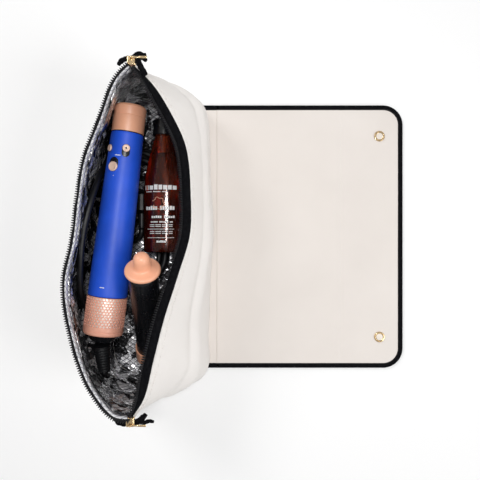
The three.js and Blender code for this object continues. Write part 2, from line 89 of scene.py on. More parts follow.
def make_light():
    world = bpy.data.worlds.new("studio")
    scene.world = world
    world.use_nodes = True
    background = world.node_tree.nodes["Background"]
    background.inputs["Color"].default_value = (1, 1, 1, 1)
    background.inputs["Strength"].default_value = 0.4
    area_light("key", (-0.9, 0.9, 1.3), (0.05, 0, 0.05), 0.6, 7.5)
    area_light("fill", (1.3, -0.5, 1.3), (0.05, 0, 0.05), 0.8, 9.5)
    area_light("front", (0.16, 0.12, 1.25), (0, 0, 0.08), 0.2, 5.2)
    scene.view_settings.view_transform = "Standard"


# ---------------------------------------------------------------- mesh helpers
def add_mesh(name, verts, faces, smooth=True):
    mesh = bpy.data.meshes.new(name)
    mesh.from_pydata([tuple(v) for v in verts], [], faces)
    mesh.validate()
    mesh.update()
    if smooth:
        mesh.shade_smooth()
    piece = bpy.data.objects.new(name, mesh)
    scene.collection.objects.link(piece)
    return piece


def modify(piece, kind, **settings):
    modifier = piece.modifiers.new(kind.lower(), kind)
    for key, value in settings.items():
        setattr(modifier, key, value)


def bevel(piece, width, segments):
    modify(piece, "BEVEL", width=width, segments=segments, limit_method="ANGLE",
           angle_limit=math.radians(35))


def finish_piece(piece, body, slot, material, *nodes):
    """Gives a new piece its material and the body it rides on, and hides the CAD nodes it stands for; slot is
    not used.
    """
    piece.data.materials.clear()
    piece.data.materials.append(material)
    if nodes:
        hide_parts(*nodes)
    if body:
        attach(piece, body)
    return piece


def grid_faces(rows, columns, closed=False, offset=0):
    faces = []
    for row in range(rows - 1):
        for column in range(columns if closed else columns - 1):
            after = (column + 1) % columns
            a = offset + row * columns + column
            b = offset + row * columns + after
            faces.append((a, b, b + columns, a + columns))
    return faces


def tube_mesh(rings, cap=True):
    """Verts and faces of a tube through rings of points, with its ends filled."""
    count = len(rings[0])
    verts = [point for ring in rings for point in ring]
    faces = grid_faces(len(rings), count, closed=True)
    if cap:
        faces.append(tuple(range(count - 1, -1, -1)))
        last = (len(rings) - 1) * count
        faces.append(tuple(range(last, last + count)))
    return verts, faces


def tube(name, rings):
    return add_mesh(name, *tube_mesh(rings))


def round_points(count):
    """The angles of count points round a full turn."""
    return [2 * math.pi * k / count for k in range(count)]


def polar(radius, angle, z):
    return Vector((radius * math.cos(angle), radius * math.sin(angle), z))


def two_sided(name, front, back, columns, flip=False, smooth=True):
    """A closed skin from two matching grids of points, joined round their edges."""
    rows, shift = len(front) // columns, len(front)
    faces = grid_faces(rows, columns)
    faces += [tuple(reversed([i + shift for i in face])) for face in faces]
    ring = list(range(columns)) + [row * columns + columns - 1 for row in range(1, rows)]
    ring += [(rows - 1) * columns + column for column in range(columns - 2, -1, -1)]
    ring += [row * columns for row in range(rows - 2, 0, -1)]
    faces += [(b, a, a + shift, b + shift) for a, b in zip(ring, ring[1:] + ring[:1])]
    if flip:
        faces = [tuple(reversed(face)) for face in faces]
    return add_mesh(name, front + back, faces, smooth)


def outward(piece):
    """Turns a closed piece's faces so that they all look out."""
    work = bmesh.new()
    work.from_mesh(piece.data)
    bmesh.ops.recalc_face_normals(work, faces=work.faces)
    work.to_mesh(piece.data)
    work.free()
    return piece


def rounded(profile, radius, steps=3):
    """The profile with each sharp corner turned into a small arc of points."""
    out = []
    for k, here in enumerate(profile):
        if k in (0, len(profile) - 1):
            out.append(here)
            continue
        a, b, c = Vector(profile[k - 1]), Vector(here), Vector(profile[k + 1])
        reach = min(radius, (a - b).length * 0.45, (c - b).length * 0.45)
        if reach < 1e-6:
            out.append(here)
            continue
        start, end = b + (a - b).normalized() * reach, b + (c - b).normalized() * reach
        for step in range(steps + 1):
            t = step / steps
            out.append(tuple(start * (1 - t) ** 2 + b * (2 * t * (1 - t)) + end * t * t))
    return out


def lathe(name, profile, matrix, segments, corner=0.0004):
    """A solid turned about local Z from (radius, z) points in millimetres; off the axis, it is a ring."""
    closed = profile[0][0] > 0
    points = [(r * MM, z * MM) for r, z in profile]
    points = rounded(points + [points[0]], corner)[:-1] if closed else rounded(points, corner)
    verts, rows = [], []
    for r, z in points:
        start = len(verts)
        if r < 1e-7:
            verts.append(matrix @ Vector((0, 0, z)))
            rows.append([start])
            continue
        verts += [matrix @ polar(r, angle, z) for angle in round_points(segments)]
        rows.append(range(start, len(verts)))
    faces = []
    pairs = list(zip(rows, rows[1:])) + ([(rows[-1], rows[0])] if closed else [])
    for low, high in pairs:
        for k in range(segments):
            n = (k + 1) % segments
            if len(low) == 1:
                faces.append((low[0], high[n], high[k]))
            elif len(high) == 1:
                faces.append((low[k], low[n], high[0]))
            else:
                faces.append((low[k], low[n], high[n], high[k]))
    return add_mesh(name, verts, faces)


# ---------------------------------------------------------------- material helpers
class Nodes:
    """A material's node tree, with short calls for the nodes that these materials use."""

    def __init__(self, name, color, roughness, **inputs):
        self.material = bpy.data.materials.new(name)
        self.material.use_nodes = True
        self.tree = self.material.node_tree
        self.shader = self.tree.nodes["Principled BSDF"]
        self.shader.inputs["Base Color"].default_value = (*color, 1)
        self.shader.inputs["Roughness"].default_value = roughness
        for key, value in inputs.items():
            self.shader.inputs[key.replace("_", " ")].default_value = value
        self.place = self.tree.nodes.new("ShaderNodeTexCoord").outputs["Object"]

    def node(self, kind, inputs, **attributes):
        """A new node: its attributes are set, and each input is set to a value or linked to an output."""
        node = self.tree.nodes.new("ShaderNode" + kind)
        for key, value in attributes.items():
            setattr(node, key, value)
        for key, value in inputs.items():
            if isinstance(value, bpy.types.NodeSocket):
                self.tree.links.new(value, node.inputs[key])
            else:
                node.inputs[key].default_value = value
        return node

    def noise(self, scale, detail=3.0, stretch=None, distortion=0.0):
        place = self.mapped(stretch, (0, 0, 0)) if stretch else self.place
        return self.node("TexNoise", {"Scale": scale, "Detail": detail, "Distortion": distortion,
                                      "Vector": place}).outputs["Fac"]

    def mapped(self, stretch, turn):
        inputs = {"Scale": stretch, "Rotation": turn, "Vector": self.place}
        return self.node("Mapping", inputs).outputs["Vector"]

    def wave(self, scale, direction, turn=(0, 0, 0)):
        inputs = {"Scale": scale, "Vector": self.mapped((1, 1, 1), turn)}
        return self.node("TexWave", inputs, bands_direction=direction).outputs["Fac"]

    def painted_light_shards(self, scale, warp_scale, warp):
        """Cells of random brightness with crooked outlines, from which the foil lining paints its highlights
        and shade.
        """
        bend = self.node("TexNoise", {"Scale": warp_scale, "Vector": self.place}).outputs["Color"]
        moved = self.node("VectorMath", {0: bend, 1: (warp, warp, warp), 2: self.place},
                          operation="MULTIPLY_ADD").outputs["Vector"]
        return self.node("TexVoronoi", {"Scale": scale, "Vector": moved}).outputs["Color"]

    def math(self, operation, a, b):
        return self.node("Math", {0: a, 1: b}, operation=operation).outputs[0]

    def ramp(self, source, stops):
        node = self.node("ValToRGB", {"Fac": source})
        ramp = node.color_ramp
        while len(ramp.elements) < len(stops):
            ramp.elements.new(0.5)
        for element, (position, color) in zip(ramp.elements, stops):
            element.position = position
            element.color = (*color, 1)
        return node.outputs["Color"]

    def mixed(self, a, b):
        """Two colours multiplied."""
        inputs = {"Factor": 1.0, 6: a, 7: b}
        return self.node("Mix", inputs, data_type="RGBA", blend_type="MULTIPLY").outputs[2]

    def into_shader(self, source, socket):
        self.tree.links.new(source, self.shader.inputs[socket])

    def color(self, source):
        self.into_shader(source, "Base Color")

    def rough(self, source, low, high):
        inputs = {"To Min": low, "To Max": high, "Value": source}
        self.into_shader(self.node("MapRange", inputs).outputs["Result"], "Roughness")

    def bump(self, source, distance, strength):
        inputs = {"Distance": distance, "Strength": strength, "Height": source}
        earlier = self.shader.inputs["Normal"].links
        if earlier:
            inputs["Normal"] = earlier[0].from_socket
        self.into_shader(self.node("Bump", inputs).outputs["Normal"], "Normal")


def cream_fabric(name, darker, lighter):
    m = Nodes(name, lighter, 0.9, Sheen_Weight=0.06, Sheen_Roughness=0.5)
    tone = m.noise(9, 4)
    m.color(m.ramp(tone, [(0.3, darker), (0.7, lighter)]))
    weave = m.math("MULTIPLY", m.wave(420, "X"), m.wave(420, "Y"))
    m.bump(m.math("ADD", weave, m.wave(420, "Z")), 0.00012, 0.5)
    m.bump(m.noise(60, 5), 0.0006, 0.25)
    return m.material


def scrim(m, bare, thread):
    """The lining's diamond net of threads, 4 mm apart, which shows on walls and floor alike."""
    quarter = math.radians(45)
    left, right = (m.wave(70, "X", turn=(0, quarter, way * quarter)) for way in (-1, 1))
    strands = m.math("MAXIMUM", left, right)
    m.bump(strands, 0.0003, 0.6)
    return m.ramp(strands, [(bare, (1, 1, 1)), (bare + 0.07, thread)])


def foil_lining():
    m = Nodes("foil_lining", (0.8, 0.8, 0.82), 0.18, Metallic=0.6)
    # The foil's base colour is painted light: near-black cells are painted shade and white cells are painted
    # highlights of the crumpled facets, multiplied by the real net of threads.
    tones = [(0.2, (0.012, 0.012, 0.014)), (0.42, (0.07, 0.07, 0.075)), (0.55, (0.45, 0.45, 0.47)),
             (0.72, (1, 0.99, 1))]
    painted_light_shards = m.ramp(m.painted_light_shards(85, 30, 0.03), tones)
    m.color(m.mixed(painted_light_shards, scrim(m, 0.9, (0.16, 0.16, 0.18))))
    m.rough(m.noise(120, 2), 0.08, 0.3)
    m.bump(m.noise(90, 2, distortion=1.5), 0.002, 0.6)
    return m.material


def foil_facing():
    """The same foil where it lies flat and catches the light."""
    m = Nodes("foil_facing", (0.9, 0.89, 0.92), 0.35, Metallic=0.1)
    tone = m.ramp(m.noise(70, 3, distortion=1.5), [(0.28, (0.3, 0.3, 0.36)), (0.38, (0.95, 0.95, 0.97))])
    m.color(m.mixed(tone, scrim(m, 0.91, (0.3, 0.3, 0.34))))
    m.bump(m.noise(120, 3), 0.0012, 0.6)
    return m.material


def black_tape(name, rib, direction):
    m = Nodes(name, (0.006, 0.006, 0.007), 0.8, Specular_IOR_Level=0.06)
    m.color(m.ramp(m.noise(300, 2), [(0.3, (0.002, 0.002, 0.003)), (0.75, (0.007, 0.007, 0.0085))]))
    m.bump(m.wave(rib, direction), 0.0002, 0.7)
    return m.material


def moulded(name, color, roughness, grain=900, depth=0.00004, variation=0.12, **inputs):
    """Moulded or painted surfaces: a little tone change, a fine grain and uneven gloss."""
    m = Nodes(name, color, roughness, **inputs)
    darker = tuple(v * (1 - variation) for v in color)
    lighter = tuple(min(1, v * (1 + variation)) for v in color)
    m.color(m.ramp(m.noise(25, 3), [(0.3, darker), (0.7, lighter)]))
    m.rough(m.noise(70, 4), max(roughness - 0.07, 0.02), roughness + 0.08)
    m.bump(m.noise(grain, 2), depth, 0.4)
    return m.material


def make_materials():
    look = {"foil": foil_lining(), "facing": foil_facing()}
    look["cream"] = cream_fabric("cream_fabric", (0.765, 0.71, 0.665), (0.81, 0.755, 0.71))
    look["wall"] = cream_fabric("wall_fabric", (0.82, 0.785, 0.755), (0.865, 0.83, 0.8))
    look["binding"] = black_tape("black_binding", 330, "Y")
    look["tape"] = black_tape("zip_tape", 450, "X")
    look["teeth"] = moulded("zip_teeth", (0.006, 0.006, 0.0075), 0.42, Specular_IOR_Level=0.25)
    look["gold"] = moulded("gold_metal", (0.83, 0.62, 0.36), 0.2, Metallic=1.0)
    look["blue"] = moulded("blue_shell", (0.015, 0.1, 0.74), 0.45, 700, Coat_Weight=0.05, Coat_Roughness=0.4)
    look["copper"] = moulded("copper", (1.0, 0.46, 0.33), 0.36, 1200, Coat_Weight=0.2, Coat_Roughness=0.3)
    look["copper_plain"] = moulded("copper_tip", (0.97, 0.45, 0.28), 0.38, 1200, Coat_Weight=0.25,
                                   Coat_Roughness=0.35)
    look["screen"] = moulded("cage_screen", (0.98, 0.84, 0.78), 0.38, Metallic=0.5)
    look["plastic"] = moulded("black_plastic", (0.004, 0.0045, 0.006), 0.28)
    look["rubber"] = moulded("black_rubber", (0.005, 0.0055, 0.007), 0.42, 500, 0.0001)
    look["steel"] = moulded("steel", (0.55, 0.55, 0.57), 0.3, Metallic=1.0)
    look["foam"] = moulded("filter_foam", (0.04, 0.04, 0.045), 0.9, 1500, 0.0003)
    look["board"] = moulded("circuit", (0.02, 0.13, 0.06), 0.4)
    look["stiffener"] = moulded("stiffener", (0.06, 0.06, 0.06), 0.8)
    look["knob"] = moulded("switch_knob", (0.95, 0.64, 0.5), 0.35, Metallic=0.1)
    look["label"] = moulded("label_print", (0.9, 0.9, 0.88), 0.5)
    look["pale"] = moulded("snap_centre", (0.85, 0.78, 0.7), 0.4)
    look["cord"] = cord_rubber()
    look["amber"] = amber_plastic()
    look["liquid"] = liquid()
    look["tube"] = moulded("clear_tube", (0.8, 0.78, 0.75), 0.2, Transmission_Weight=0.6)
    return look


def amber_plastic():
    m = Nodes("amber_bottle", (0.62, 0.13, 0.05), 0.06, Transmission_Weight=0.95, IOR=1.45)
    m.rough(m.noise(40, 2), 0.05, 0.13)
    m.color(m.ramp(m.noise(18, 4), [(0.3, (0.3, 0.03, 0.01)), (0.7, (0.85, 0.15, 0.045))]))
    m.bump(m.noise(24, 2), 0.0002, 0.2)
    return m.material


def liquid():
    m = Nodes("bottle_liquid", (0.1, 0.02, 0.012), 0.25)
    streaks = m.noise(45, 6, (1.6, 0.4, 1))
    tones = [(0.42, (0.004, 0.0015, 0.0015)), (0.55, (0.08, 0.01, 0.006)), (0.66, (0.9, 0.1, 0.04))]
    m.color(m.ramp(streaks, tones))
    m.bump(m.noise(60, 4), 0.001, 0.5)
    return m.material


def cord_rubber():
    m = Nodes("cord_rubber", (0.004, 0.004, 0.005), 0.4)
    m.rough(m.noise(90, 3), 0.34, 0.52)
    m.bump(m.noise(400, 2), 0.00008, 0.4)
    return m.material


# ---------------------------------------------------------------- the pouch's shape
# Plan outlines in millimetres from the -Y end seam to the +Y one: on the ground, at the bulge, at the mouth.
FRONT = [[Vector(point) for point in outline] for outline in (
    [(-6, -178), (-34, -177), (-55, -163), (-60, -115), (-61, -50), (-61, 0), (-61, 45), (-60, 95),
     (-57, 145), (-36, 177), (-6, 178)],
    [(-6, -198), (-36, -194), (-84, -170), (-106, -115), (-104, -48), (-100, 0), (-94, 42), (-80, 90),
     (-62, 140), (-30, 186), (-6, 196)],
    [(-6, -187), (-24, -184), (-49, -154), (-66, -109), (-76, -47), (-67, 0), (-62, 41), (-55, 83),
     (-39, 125), (-23, 166), (-6, 185)],
)]
BACK = [[Vector(point) for point in outline] for outline in (
    [(-6, -178), (38, -177), (60, -166), (64, -115), (66, -50), (67, 0), (66, 45), (64, 95),
     (61, 162), (38, 177), (-6, 178)],
    [(-6, -196), (34, -194), (74, -178), (80, -112), (82, -50), (85, 0), (84, 45), (81, 95),
     (74, 170), (34, 196), (-6, 196)],
    [(-6, -187), (7, -166), (17, -126), (28, -83), (43, -36), (55, 5), (56, 45), (51, 97),
     (34, 135), (16, 163), (-6, 185)],
)]
# The walls' height, and the level from which the zip tapes rise.
HEIGHT = 0.146
RIM = 0.1463
# Where the stitches below the mouth run, as a share of the walls' height.
HEM = 0.962


def curve_point(points, k, t):
    """The centripetal Catmull-Rom curve through points, a share t of the way from point k to the next."""
    p1, p2 = points[k], points[k + 1]
    p0 = points[k - 1] if k else p1 * 2 - p2
    p3 = points[k + 2] if k + 2 < len(points) else p2 * 2 - p1
    d0, d1, d2 = (max((b - a).length ** 0.5, 1e-6) for a, b in ((p0, p1), (p1, p2), (p2, p3)))
    m1 = ((p1 - p0) / d0 - (p2 - p0) / (d0 + d1) + (p2 - p1) / d1) * d1
    m2 = ((p2 - p1) / d1 - (p3 - p1) / (d1 + d2) + (p3 - p2) / d2) * d1
    square = (p1 * -3 + p2 * 3 - m1 * 2 - m2) * t ** 2
    return p1 + m1 * t + square + (p1 * 2 - p2 * 2 + m1 + m2) * t ** 3


def plan_point(outline, s):
    """A point of an outline's curve, at s from 0 at its -Y end to 1."""
    count = len(outline) - 1
    place = min(max(s, 0), 1) * count
    k = min(int(place), count - 1)
    return curve_point(outline, k, place - k)


def wall_point(side, s, v):
    """A point of a wall's plain shape: s goes along it from its -Y end and v goes up it, both from 0 to 1."""
    low, mid, high = (plan_point(outline, s) for outline in side)
    flat = (low * (1 - v) ** 2 + mid * (2 * v * (1 - v)) + high * v ** 2) * MM
    return Vector((flat.x, flat.y, v * HEIGHT))


def wall_normal(side, s, v):
    """The outward direction of a wall."""
    e = 0.004
    along = wall_point(side, min(s + e, 1), v) - wall_point(side, max(s - e, 0), v)
    up = wall_point(side, s, min(v + e, 1)) - wall_point(side, s, max(v - e, 0))
    out = along.cross(up).normalized()
    return out if side is BACK else -out


def wave_noise(point, scale, seed):
    return noise.noise(Vector((point.x * scale + seed, point.y * scale - seed, point.z * scale + 3 * seed)))


def rim_fade(s, v):
    """1 in the middle of a wall, 0 where it is sewn: at its foot, its rim and its end seams."""
    return min(1, 6 * v) * min(1, 7 * (1 - v)) * min(1, 14 * s) * min(1, 14 * (1 - s))


def bell(distance, width):
    """A smooth bump of height 1 round distance 0."""
    return math.exp(-((distance / width) ** 2))


def fabric_fold(side, s, v, point):
    """How far the cream fabric stands off its plain shape: broad dents, and a crease round the back panel."""
    dent = 0.0022 * wave_noise(point, 17, 1.3) + 0.0011 * wave_noise(point, 42, 4.1)
    crease = 0.0
    if side is BACK:
        line = 0.56 + 0.16 * math.sin(math.pi * s)
        crease = 0.0016 * bell(v - line + 0.1, 0.06) - 0.0034 * bell(v - line, 0.045)
    pucker = 0.0007 * math.sin(s * 260) * bell(1 - v, 0.05)
    return (dent + crease) * rim_fade(s, v) + pucker


def wall_panel(name, side, columns=200, rows=60):
    """One cream wall as a closed skin."""
    thick = 0.0022
    outer, inner = [], []
    for row in range(rows + 1):
        v = row / rows
        for column in range(columns + 1):
            s = column / columns
            here, out = wall_point(side, s, v), wall_normal(side, s, v)
            stand = fabric_fold(side, s, v, here)
            outer.append(here + out * stand)
            inner.append(here + out * (min(stand, 0) - thick))
    return two_sided(name, outer, inner, columns + 1, flip=side is FRONT)


def facet(place):
    """0 on the edges of a random pattern of cells, more towards their middles."""
    nearest, second = noise.voronoi(place, distance_metric="DISTANCE", exponent=2.5)[0][:2]
    return second - nearest


def lining_point(side, s, v):
    """The foil hangs loose inside the wall and is crumpled in sharp facets."""
    inset = 0.0046
    here, out = wall_point(side, s, v), wall_normal(side, s, v)
    if v > 0.985:
        return here - out * (inset - 0.001)
    fade = rim_fade(s, v)
    warped = here + Vector([wave_noise(here, 30, seed) for seed in (9.1, 5.3, 3.7)]) * 0.012
    sharp = 0.0046 * facet(warped * 34) + 0.0014 * facet(warped * 95)
    broad = 0.003 * abs(wave_noise(here, 20, 7.7))
    return here - out * (inset + (sharp + broad) * fade)


def foil_wall(name, side, columns=300, rows=110):
    front, back = [], []
    for row in range(rows + 1):
        v = 0.05 + 0.95 * row / rows
        for column in range(columns + 1):
            s = 0.004 + 0.992 * column / columns
            point = lining_point(side, s, v)
            front.append(point)
            back.append(point + wall_normal(side, s, v) * 0.0004)
    return two_sided(name, front, back, columns + 1, flip=side is BACK, smooth=False)


def outline_ring(v, inset, count=220):
    """Points round the pouch at a level v, up the back wall and down the front one."""
    half = count // 2
    places = [(BACK, k / half) for k in range(half)] + [(FRONT, 1 - k / half) for k in range(half)]
    return [wall_point(side, s, v) - wall_normal(side, s, v) * inset for side, s in places]


def slab(name, v_low, v_high, z_low, z_high, inset, crumple=0.0):
    """A plate that fills the pouch's outline between two heights, with rings of points on its top."""
    low, high = outline_ring(v_low, inset), outline_ring(v_high, inset)
    centre = Vector((0.001, 0, 0))
    steps = 26
    verts = [centre + UP * z_high]
    for k in range(1, steps + 1):
        for point in high:
            here = centre.lerp(Vector((point.x, point.y, 0)), k / steps)
            lift = crumple * abs(wave_noise(here, 60, 5.5)) if k < steps else 0
            verts.append(here + UP * (z_high + lift))
    verts += [Vector((point.x, point.y, z_low)) for point in low]
    verts.append(centre + UP * z_low)
    count, last = len(high), len(verts) - 1
    faces = [(0, 1 + k, 1 + (k + 1) % count) for k in range(count)]
    faces += [(a, d, c, b) for a, b, c, d in grid_faces(steps + 1, count, closed=True, offset=1)]
    faces += [(last, last - count + (k + 1) % count, last - count + k) for k in range(count)]
    return add_mesh(name, verts, faces, smooth=not crumple)


def piping(name, points, radius, sides=10):
    """A round seam bead along points."""
    rings = []
    for k, point in enumerate(points):
        ahead, behind = points[min(k + 1, len(points) - 1)], points[max(k - 1, 0)]
        along = (ahead - behind).normalized()
        across = across - along * across.dot(along) if k else along.orthogonal()
        across.normalize()
        other = along.cross(across)
        rings.append([point + (across * math.cos(a) + other * math.sin(a)) * radius
                      for a in round_points(sides)])
    return tube(name, rings)


def stitches(name, points, normals, pitch=0.0032):
    """A row of small thread stitches lying along a line."""
    long, wide, high = 0.0021, 0.0006, 0.0004
    verts, faces = [], []
    travelled, due = 0.0, 0.0
    for a, b, out in zip(points, points[1:], normals):
        step = (b - a).length
        travelled += step
        if travelled < due or step < 1e-7:
            continue
        due += pitch
        along = (b - a).normalized()
        side = along.cross(out).normalized()
        rings = []
        for t, scale in ((-0.5, 0.35), (-0.3, 0.95), (0, 1.1), (0.3, 0.95), (0.5, 0.35)):
            middle = a + along * long * t
            rings.append([middle + (side * math.cos(q) * wide * 0.5 + out * math.sin(q) * high) * scale
                          for q in round_points(6)])
        stitch, sides = tube_mesh(rings)
        faces += [tuple(i + len(verts) for i in face) for face in sides]
        verts += stitch
    return add_mesh(name, verts, faces)


def make_pouch(look):
    sides = ((FRONT, "front"), (BACK, "back"))
    for side, label in sides:
        wall = wall_panel(f"{label}_wall_fabric", side)
        finish_piece(wall, "pouch", "cream_fabric", look["wall"], f"{label}_panel")
    for side, label in sides:
        foil = foil_wall(f"{label}_foil", side)
        finish_piece(foil, "pouch", "foil_lining", look["foil"], f"{label}_lining")
    base = slab("base_fabric", 0, 0.01, 0.0, 0.003, 0.0)
    finish_piece(base, "pouch", "cream_fabric", look["wall"], "base_panel")
    floor = slab("base_foil", 0.04, 0.045, 0.0056, 0.006, 0.0046, crumple=0.0009)
    finish_piece(floor, "pouch", "foil_lining", look["foil"], "base_lining")
    places = [k / 700 for k in range(14, 687)]
    for side, label in sides:
        normals = [wall_normal(side, s, HEM) for s in places]
        line = [wall_point(side, s, HEM) + n * 0.0005 for s, n in zip(places, normals)]
        row = stitches(f"rim_stitches_{label}", line, normals)
        finish_piece(row, "pouch", "cream_fabric", look["wall"])
    for label, s in (("top", 1), ("bottom", 0)):
        seam = [wall_point(BACK, s, 0.02 + 0.95 * k / 40) for k in range(41)]
        finish_piece(piping(f"end_seam_{label}", seam, 0.0016), "pouch", "cream_fabric", look["wall"])
    foot = outline_ring(0.02, -0.0002)
    finish_piece(piping("foot_seam", foot + foot[:1], 0.0011), "pouch", "cream_fabric", look["wall"])


# ---------------------------------------------------------------- zip
def smoothstep(low, high, value):
    t = min(max((value - low) / (high - low), 0), 1)
    return t * t * (3 - 2 * t)


def inward(side, s):
    out = wall_normal(side, s, 1.0)
    return -Vector((out.x, out.y, 0)).normalized()


def tape_frame(side, s):
    """Where the tape leaves the rim, which way is inward, and how far it leans in and rises there."""
    foot = wall_point(side, s, 1.0)
    foot.z = RIM
    if side is FRONT:
        return foot, inward(side, s), -0.0004, 0.0085
    spread = smoothstep(0, 0.16, min(s, 1 - s))
    return foot, inward(side, s), (2.5 + 6.5 * spread) * MM, (6 - 2 * spread) * MM


TAPE_ENDS = (0.012, 0.985)


def zip_tape(name, side):
    low, high = TAPE_ENDS
    rows = []
    for k in range(241):
        foot, into, reach, rise = tape_frame(side, low + (high - low) * k / 240)
        if side is FRONT:
            loop = [(0.0004, 0), (0.0022, 0), (0.0014, rise), (reach, rise)]
        else:
            loop = [(0.0004, 0.0002), (0.0022, 0.0002), (reach, rise - 0.0005), (reach, rise + 0.0007),
                    (0.001, 0.0018)]
        wobble = 0.0004 * math.sin(k * 0.35) + 0.0006 * noise.noise(foot * 40)
        row = [foot + into * (x + wobble * min(z / 0.004, 1)) + UP * z for x, z in loop]
        rows.append(row if side is BACK else row[::-1])
    return tube(name, rows)


def zip_teeth(name, side):
    """Single teeth along the tape's free edge, each a small rounded block with a raised nose."""
    low, high = TAPE_ENDS
    verts, faces = [], []
    pitch = 0.0025
    travelled, due = 0.0, 0.0
    before = wall_point(side, low, 1.0)
    for k in range(4001):
        s = low + (high - low) * k / 4000
        here = wall_point(side, s, 1.0)
        travelled += (here - before).length
        before = here
        if travelled < due:
            continue
        due += pitch
        foot, into, reach, rise = tape_frame(side, s)
        along = Vector((-into.y, into.x, 0))
        if side is FRONT:
            middle, out = foot + into * 0.0004 + UP * (rise + 0.0012), -into
            size = (0.0021, 0.0009, 0.0014)
        else:
            middle, out = foot + into * (reach + 0.0016) + UP * (rise + 0.0001), into
            size = (0.0019, 0.0009, 0.0012)
        start = len(verts)
        for level, wide in ((-1, 0.8), (-0.4, 1), (0.5, 1), (1, 0.65)):
            for x, y in ((-1, -1.2), (-0.1, -1.1), (1, -0.4), (1, 0.4), (-0.1, 1.1), (-1, 1.2)):
                verts.append(middle + (out * size[0] * x + along * size[1] * y) * wide + UP * size[2] * level)
        faces += grid_faces(4, 6, closed=True, offset=start)
        faces.append(tuple(start + i for i in range(5, -1, -1)))
        faces.append(tuple(start + 18 + i for i in range(6)))
    return add_mesh(name, verts, faces)


def box_mesh(name, low, high, width, segments):
    corners = [(x, y, z) for z in (low[2], high[2]) for y in (low[1], high[1]) for x in (low[0], high[0])]
    faces = [(0, 2, 3, 1), (4, 5, 7, 6), (0, 1, 5, 4), (2, 6, 7, 3), (0, 4, 6, 2), (1, 3, 7, 5)]
    piece = add_mesh(name, corners, faces)
    bevel(piece, width, segments)
    return piece


def joined(name, pieces):
    """One mesh made from several, with their modifiers applied."""
    graph = bpy.context.evaluated_depsgraph_get()
    verts, faces = [], []
    for piece in pieces:
        mesh = piece.evaluated_get(graph).to_mesh()
        faces += [tuple(i + len(verts) for i in face.vertices) for face in mesh.polygons]
        verts += [piece.matrix_world @ v.co for v in mesh.vertices]
    for piece in pieces:
        bpy.data.objects.remove(piece)
    return add_mesh(name, verts, faces)


def front_facing():
    """The lining is carried up the inner side of the front tape to the teeth."""
    rows = []
    for k in range(241):
        s = 0.02 + 0.96 * k / 240
        foot, into, _, _ = tape_frame(FRONT, s)
        ripple = 0.0005 * noise.noise(foot * 70)
        loop = [(0.0019, 0.0079), (0.0026 + ripple, 0.0078), (0.0029 + ripple, -0.0006), (0.0023, -0.0008)]
        rows.append([foot + into * x + UP * z for x, z in loop])
    return outward(tube("front_facing", rows))


def make_zip(look):
    finish_piece(front_facing(), "pouch", "foil_lining", look["facing"])
    for side, label in ((FRONT, "front"), (BACK, "back")):
        tape = zip_tape(f"{label}_tape", side)
        finish_piece(tape, "pouch", "zip_tape", look["tape"], f"zip_tape_{label}")
        teeth = zip_teeth(f"{label}_teeth", side)
        finish_piece(teeth, "pouch", "zip_teeth", look["teeth"], f"zip_teeth_{label}")


def moved_box(name, middle, low, high, out, width=0.0004, segments=3):
    """A box about middle, given for the +Y end of the mouth and turned over for the -Y end."""
    if out < 0:
        low, high = (low[0], -high[1], low[2]), (high[0], -low[1], high[2])
    ends = [tuple((a + b) * MM for a, b in zip(corner, middle)) for corner in (low, high)]
    return box_mesh(name, *ends, width, segments)


# The spare tape beyond each slider, crumpled: rough centrelines in millimetres, and half widths.
TAILS = {
    "top": [([(-19, 181, 151), (-17, 185, 150), (-12.5, 188.5, 149), (-8.5, 190.5, 148)], 2.6),
            ([(-6, 190.5, 147.5), (-3, 193, 147), (2, 194.6, 147.5), (6.5, 193.4, 147),
              (9, 194, 146.5)], 2.2),
            ([(0, 193, 149), (1, 189, 150.5), (1.5, 184.5, 151), (5, 178, 151), (9.5, 171, 150.5)], 3.3),
            ([(2, 190, 148.5), (6.5, 189.5, 148.5), (9.5, 186.5, 148)], 2.6)],
    "bottom": [([(-23, -184.5, 150), (-20, -189, 149.5), (-15, -191.5, 148.5), (-10, -192, 148)], 2.6),
               ([(-7, -192, 147), (-1, -190, 147), (5, -186.5, 148), (9, -181, 149)], 3.1),
               ([(0, -190.5, 146), (6, -191, 146.5), (12, -189.6, 146), (17, -190, 146)], 2.0),
               ([(3, -186, 150), (6, -183, 151), (8.5, -182.6, 151)], 2.0)],
}


def folded_band(name, path, reach):
    """A short rumpled band of tape along a rough line."""
    points = [Vector(p) for p in path]
    rings, steps = [], 9
    for place in range((len(points) - 1) * steps + 1):
        k = min(place // steps, len(points) - 2)
        t = place / steps - k
        here = curve_point(points, k, t)
        ahead = curve_point(points, k, min(t + 0.05, 1)) - curve_point(points, k, t - 0.05)
        side = Vector((-ahead.y, ahead.x, 0)).normalized()
        share = (k + t) / (len(points) - 1)
        width = reach * (1 - 0.35 * abs(2 * share - 1) ** 3)
        ring = []
        for q, angle in enumerate(round_points(16)):
            rough = 1 + 0.4 * noise.noise(here * 0.35 + Vector((q * 0.45, reach, 0)))
            ring.append((here + (side * math.cos(angle) * width + UP * math.sin(angle) * 1.3) * rough) * MM)
        rings.append(ring)
    return outward(tube(name, rings))


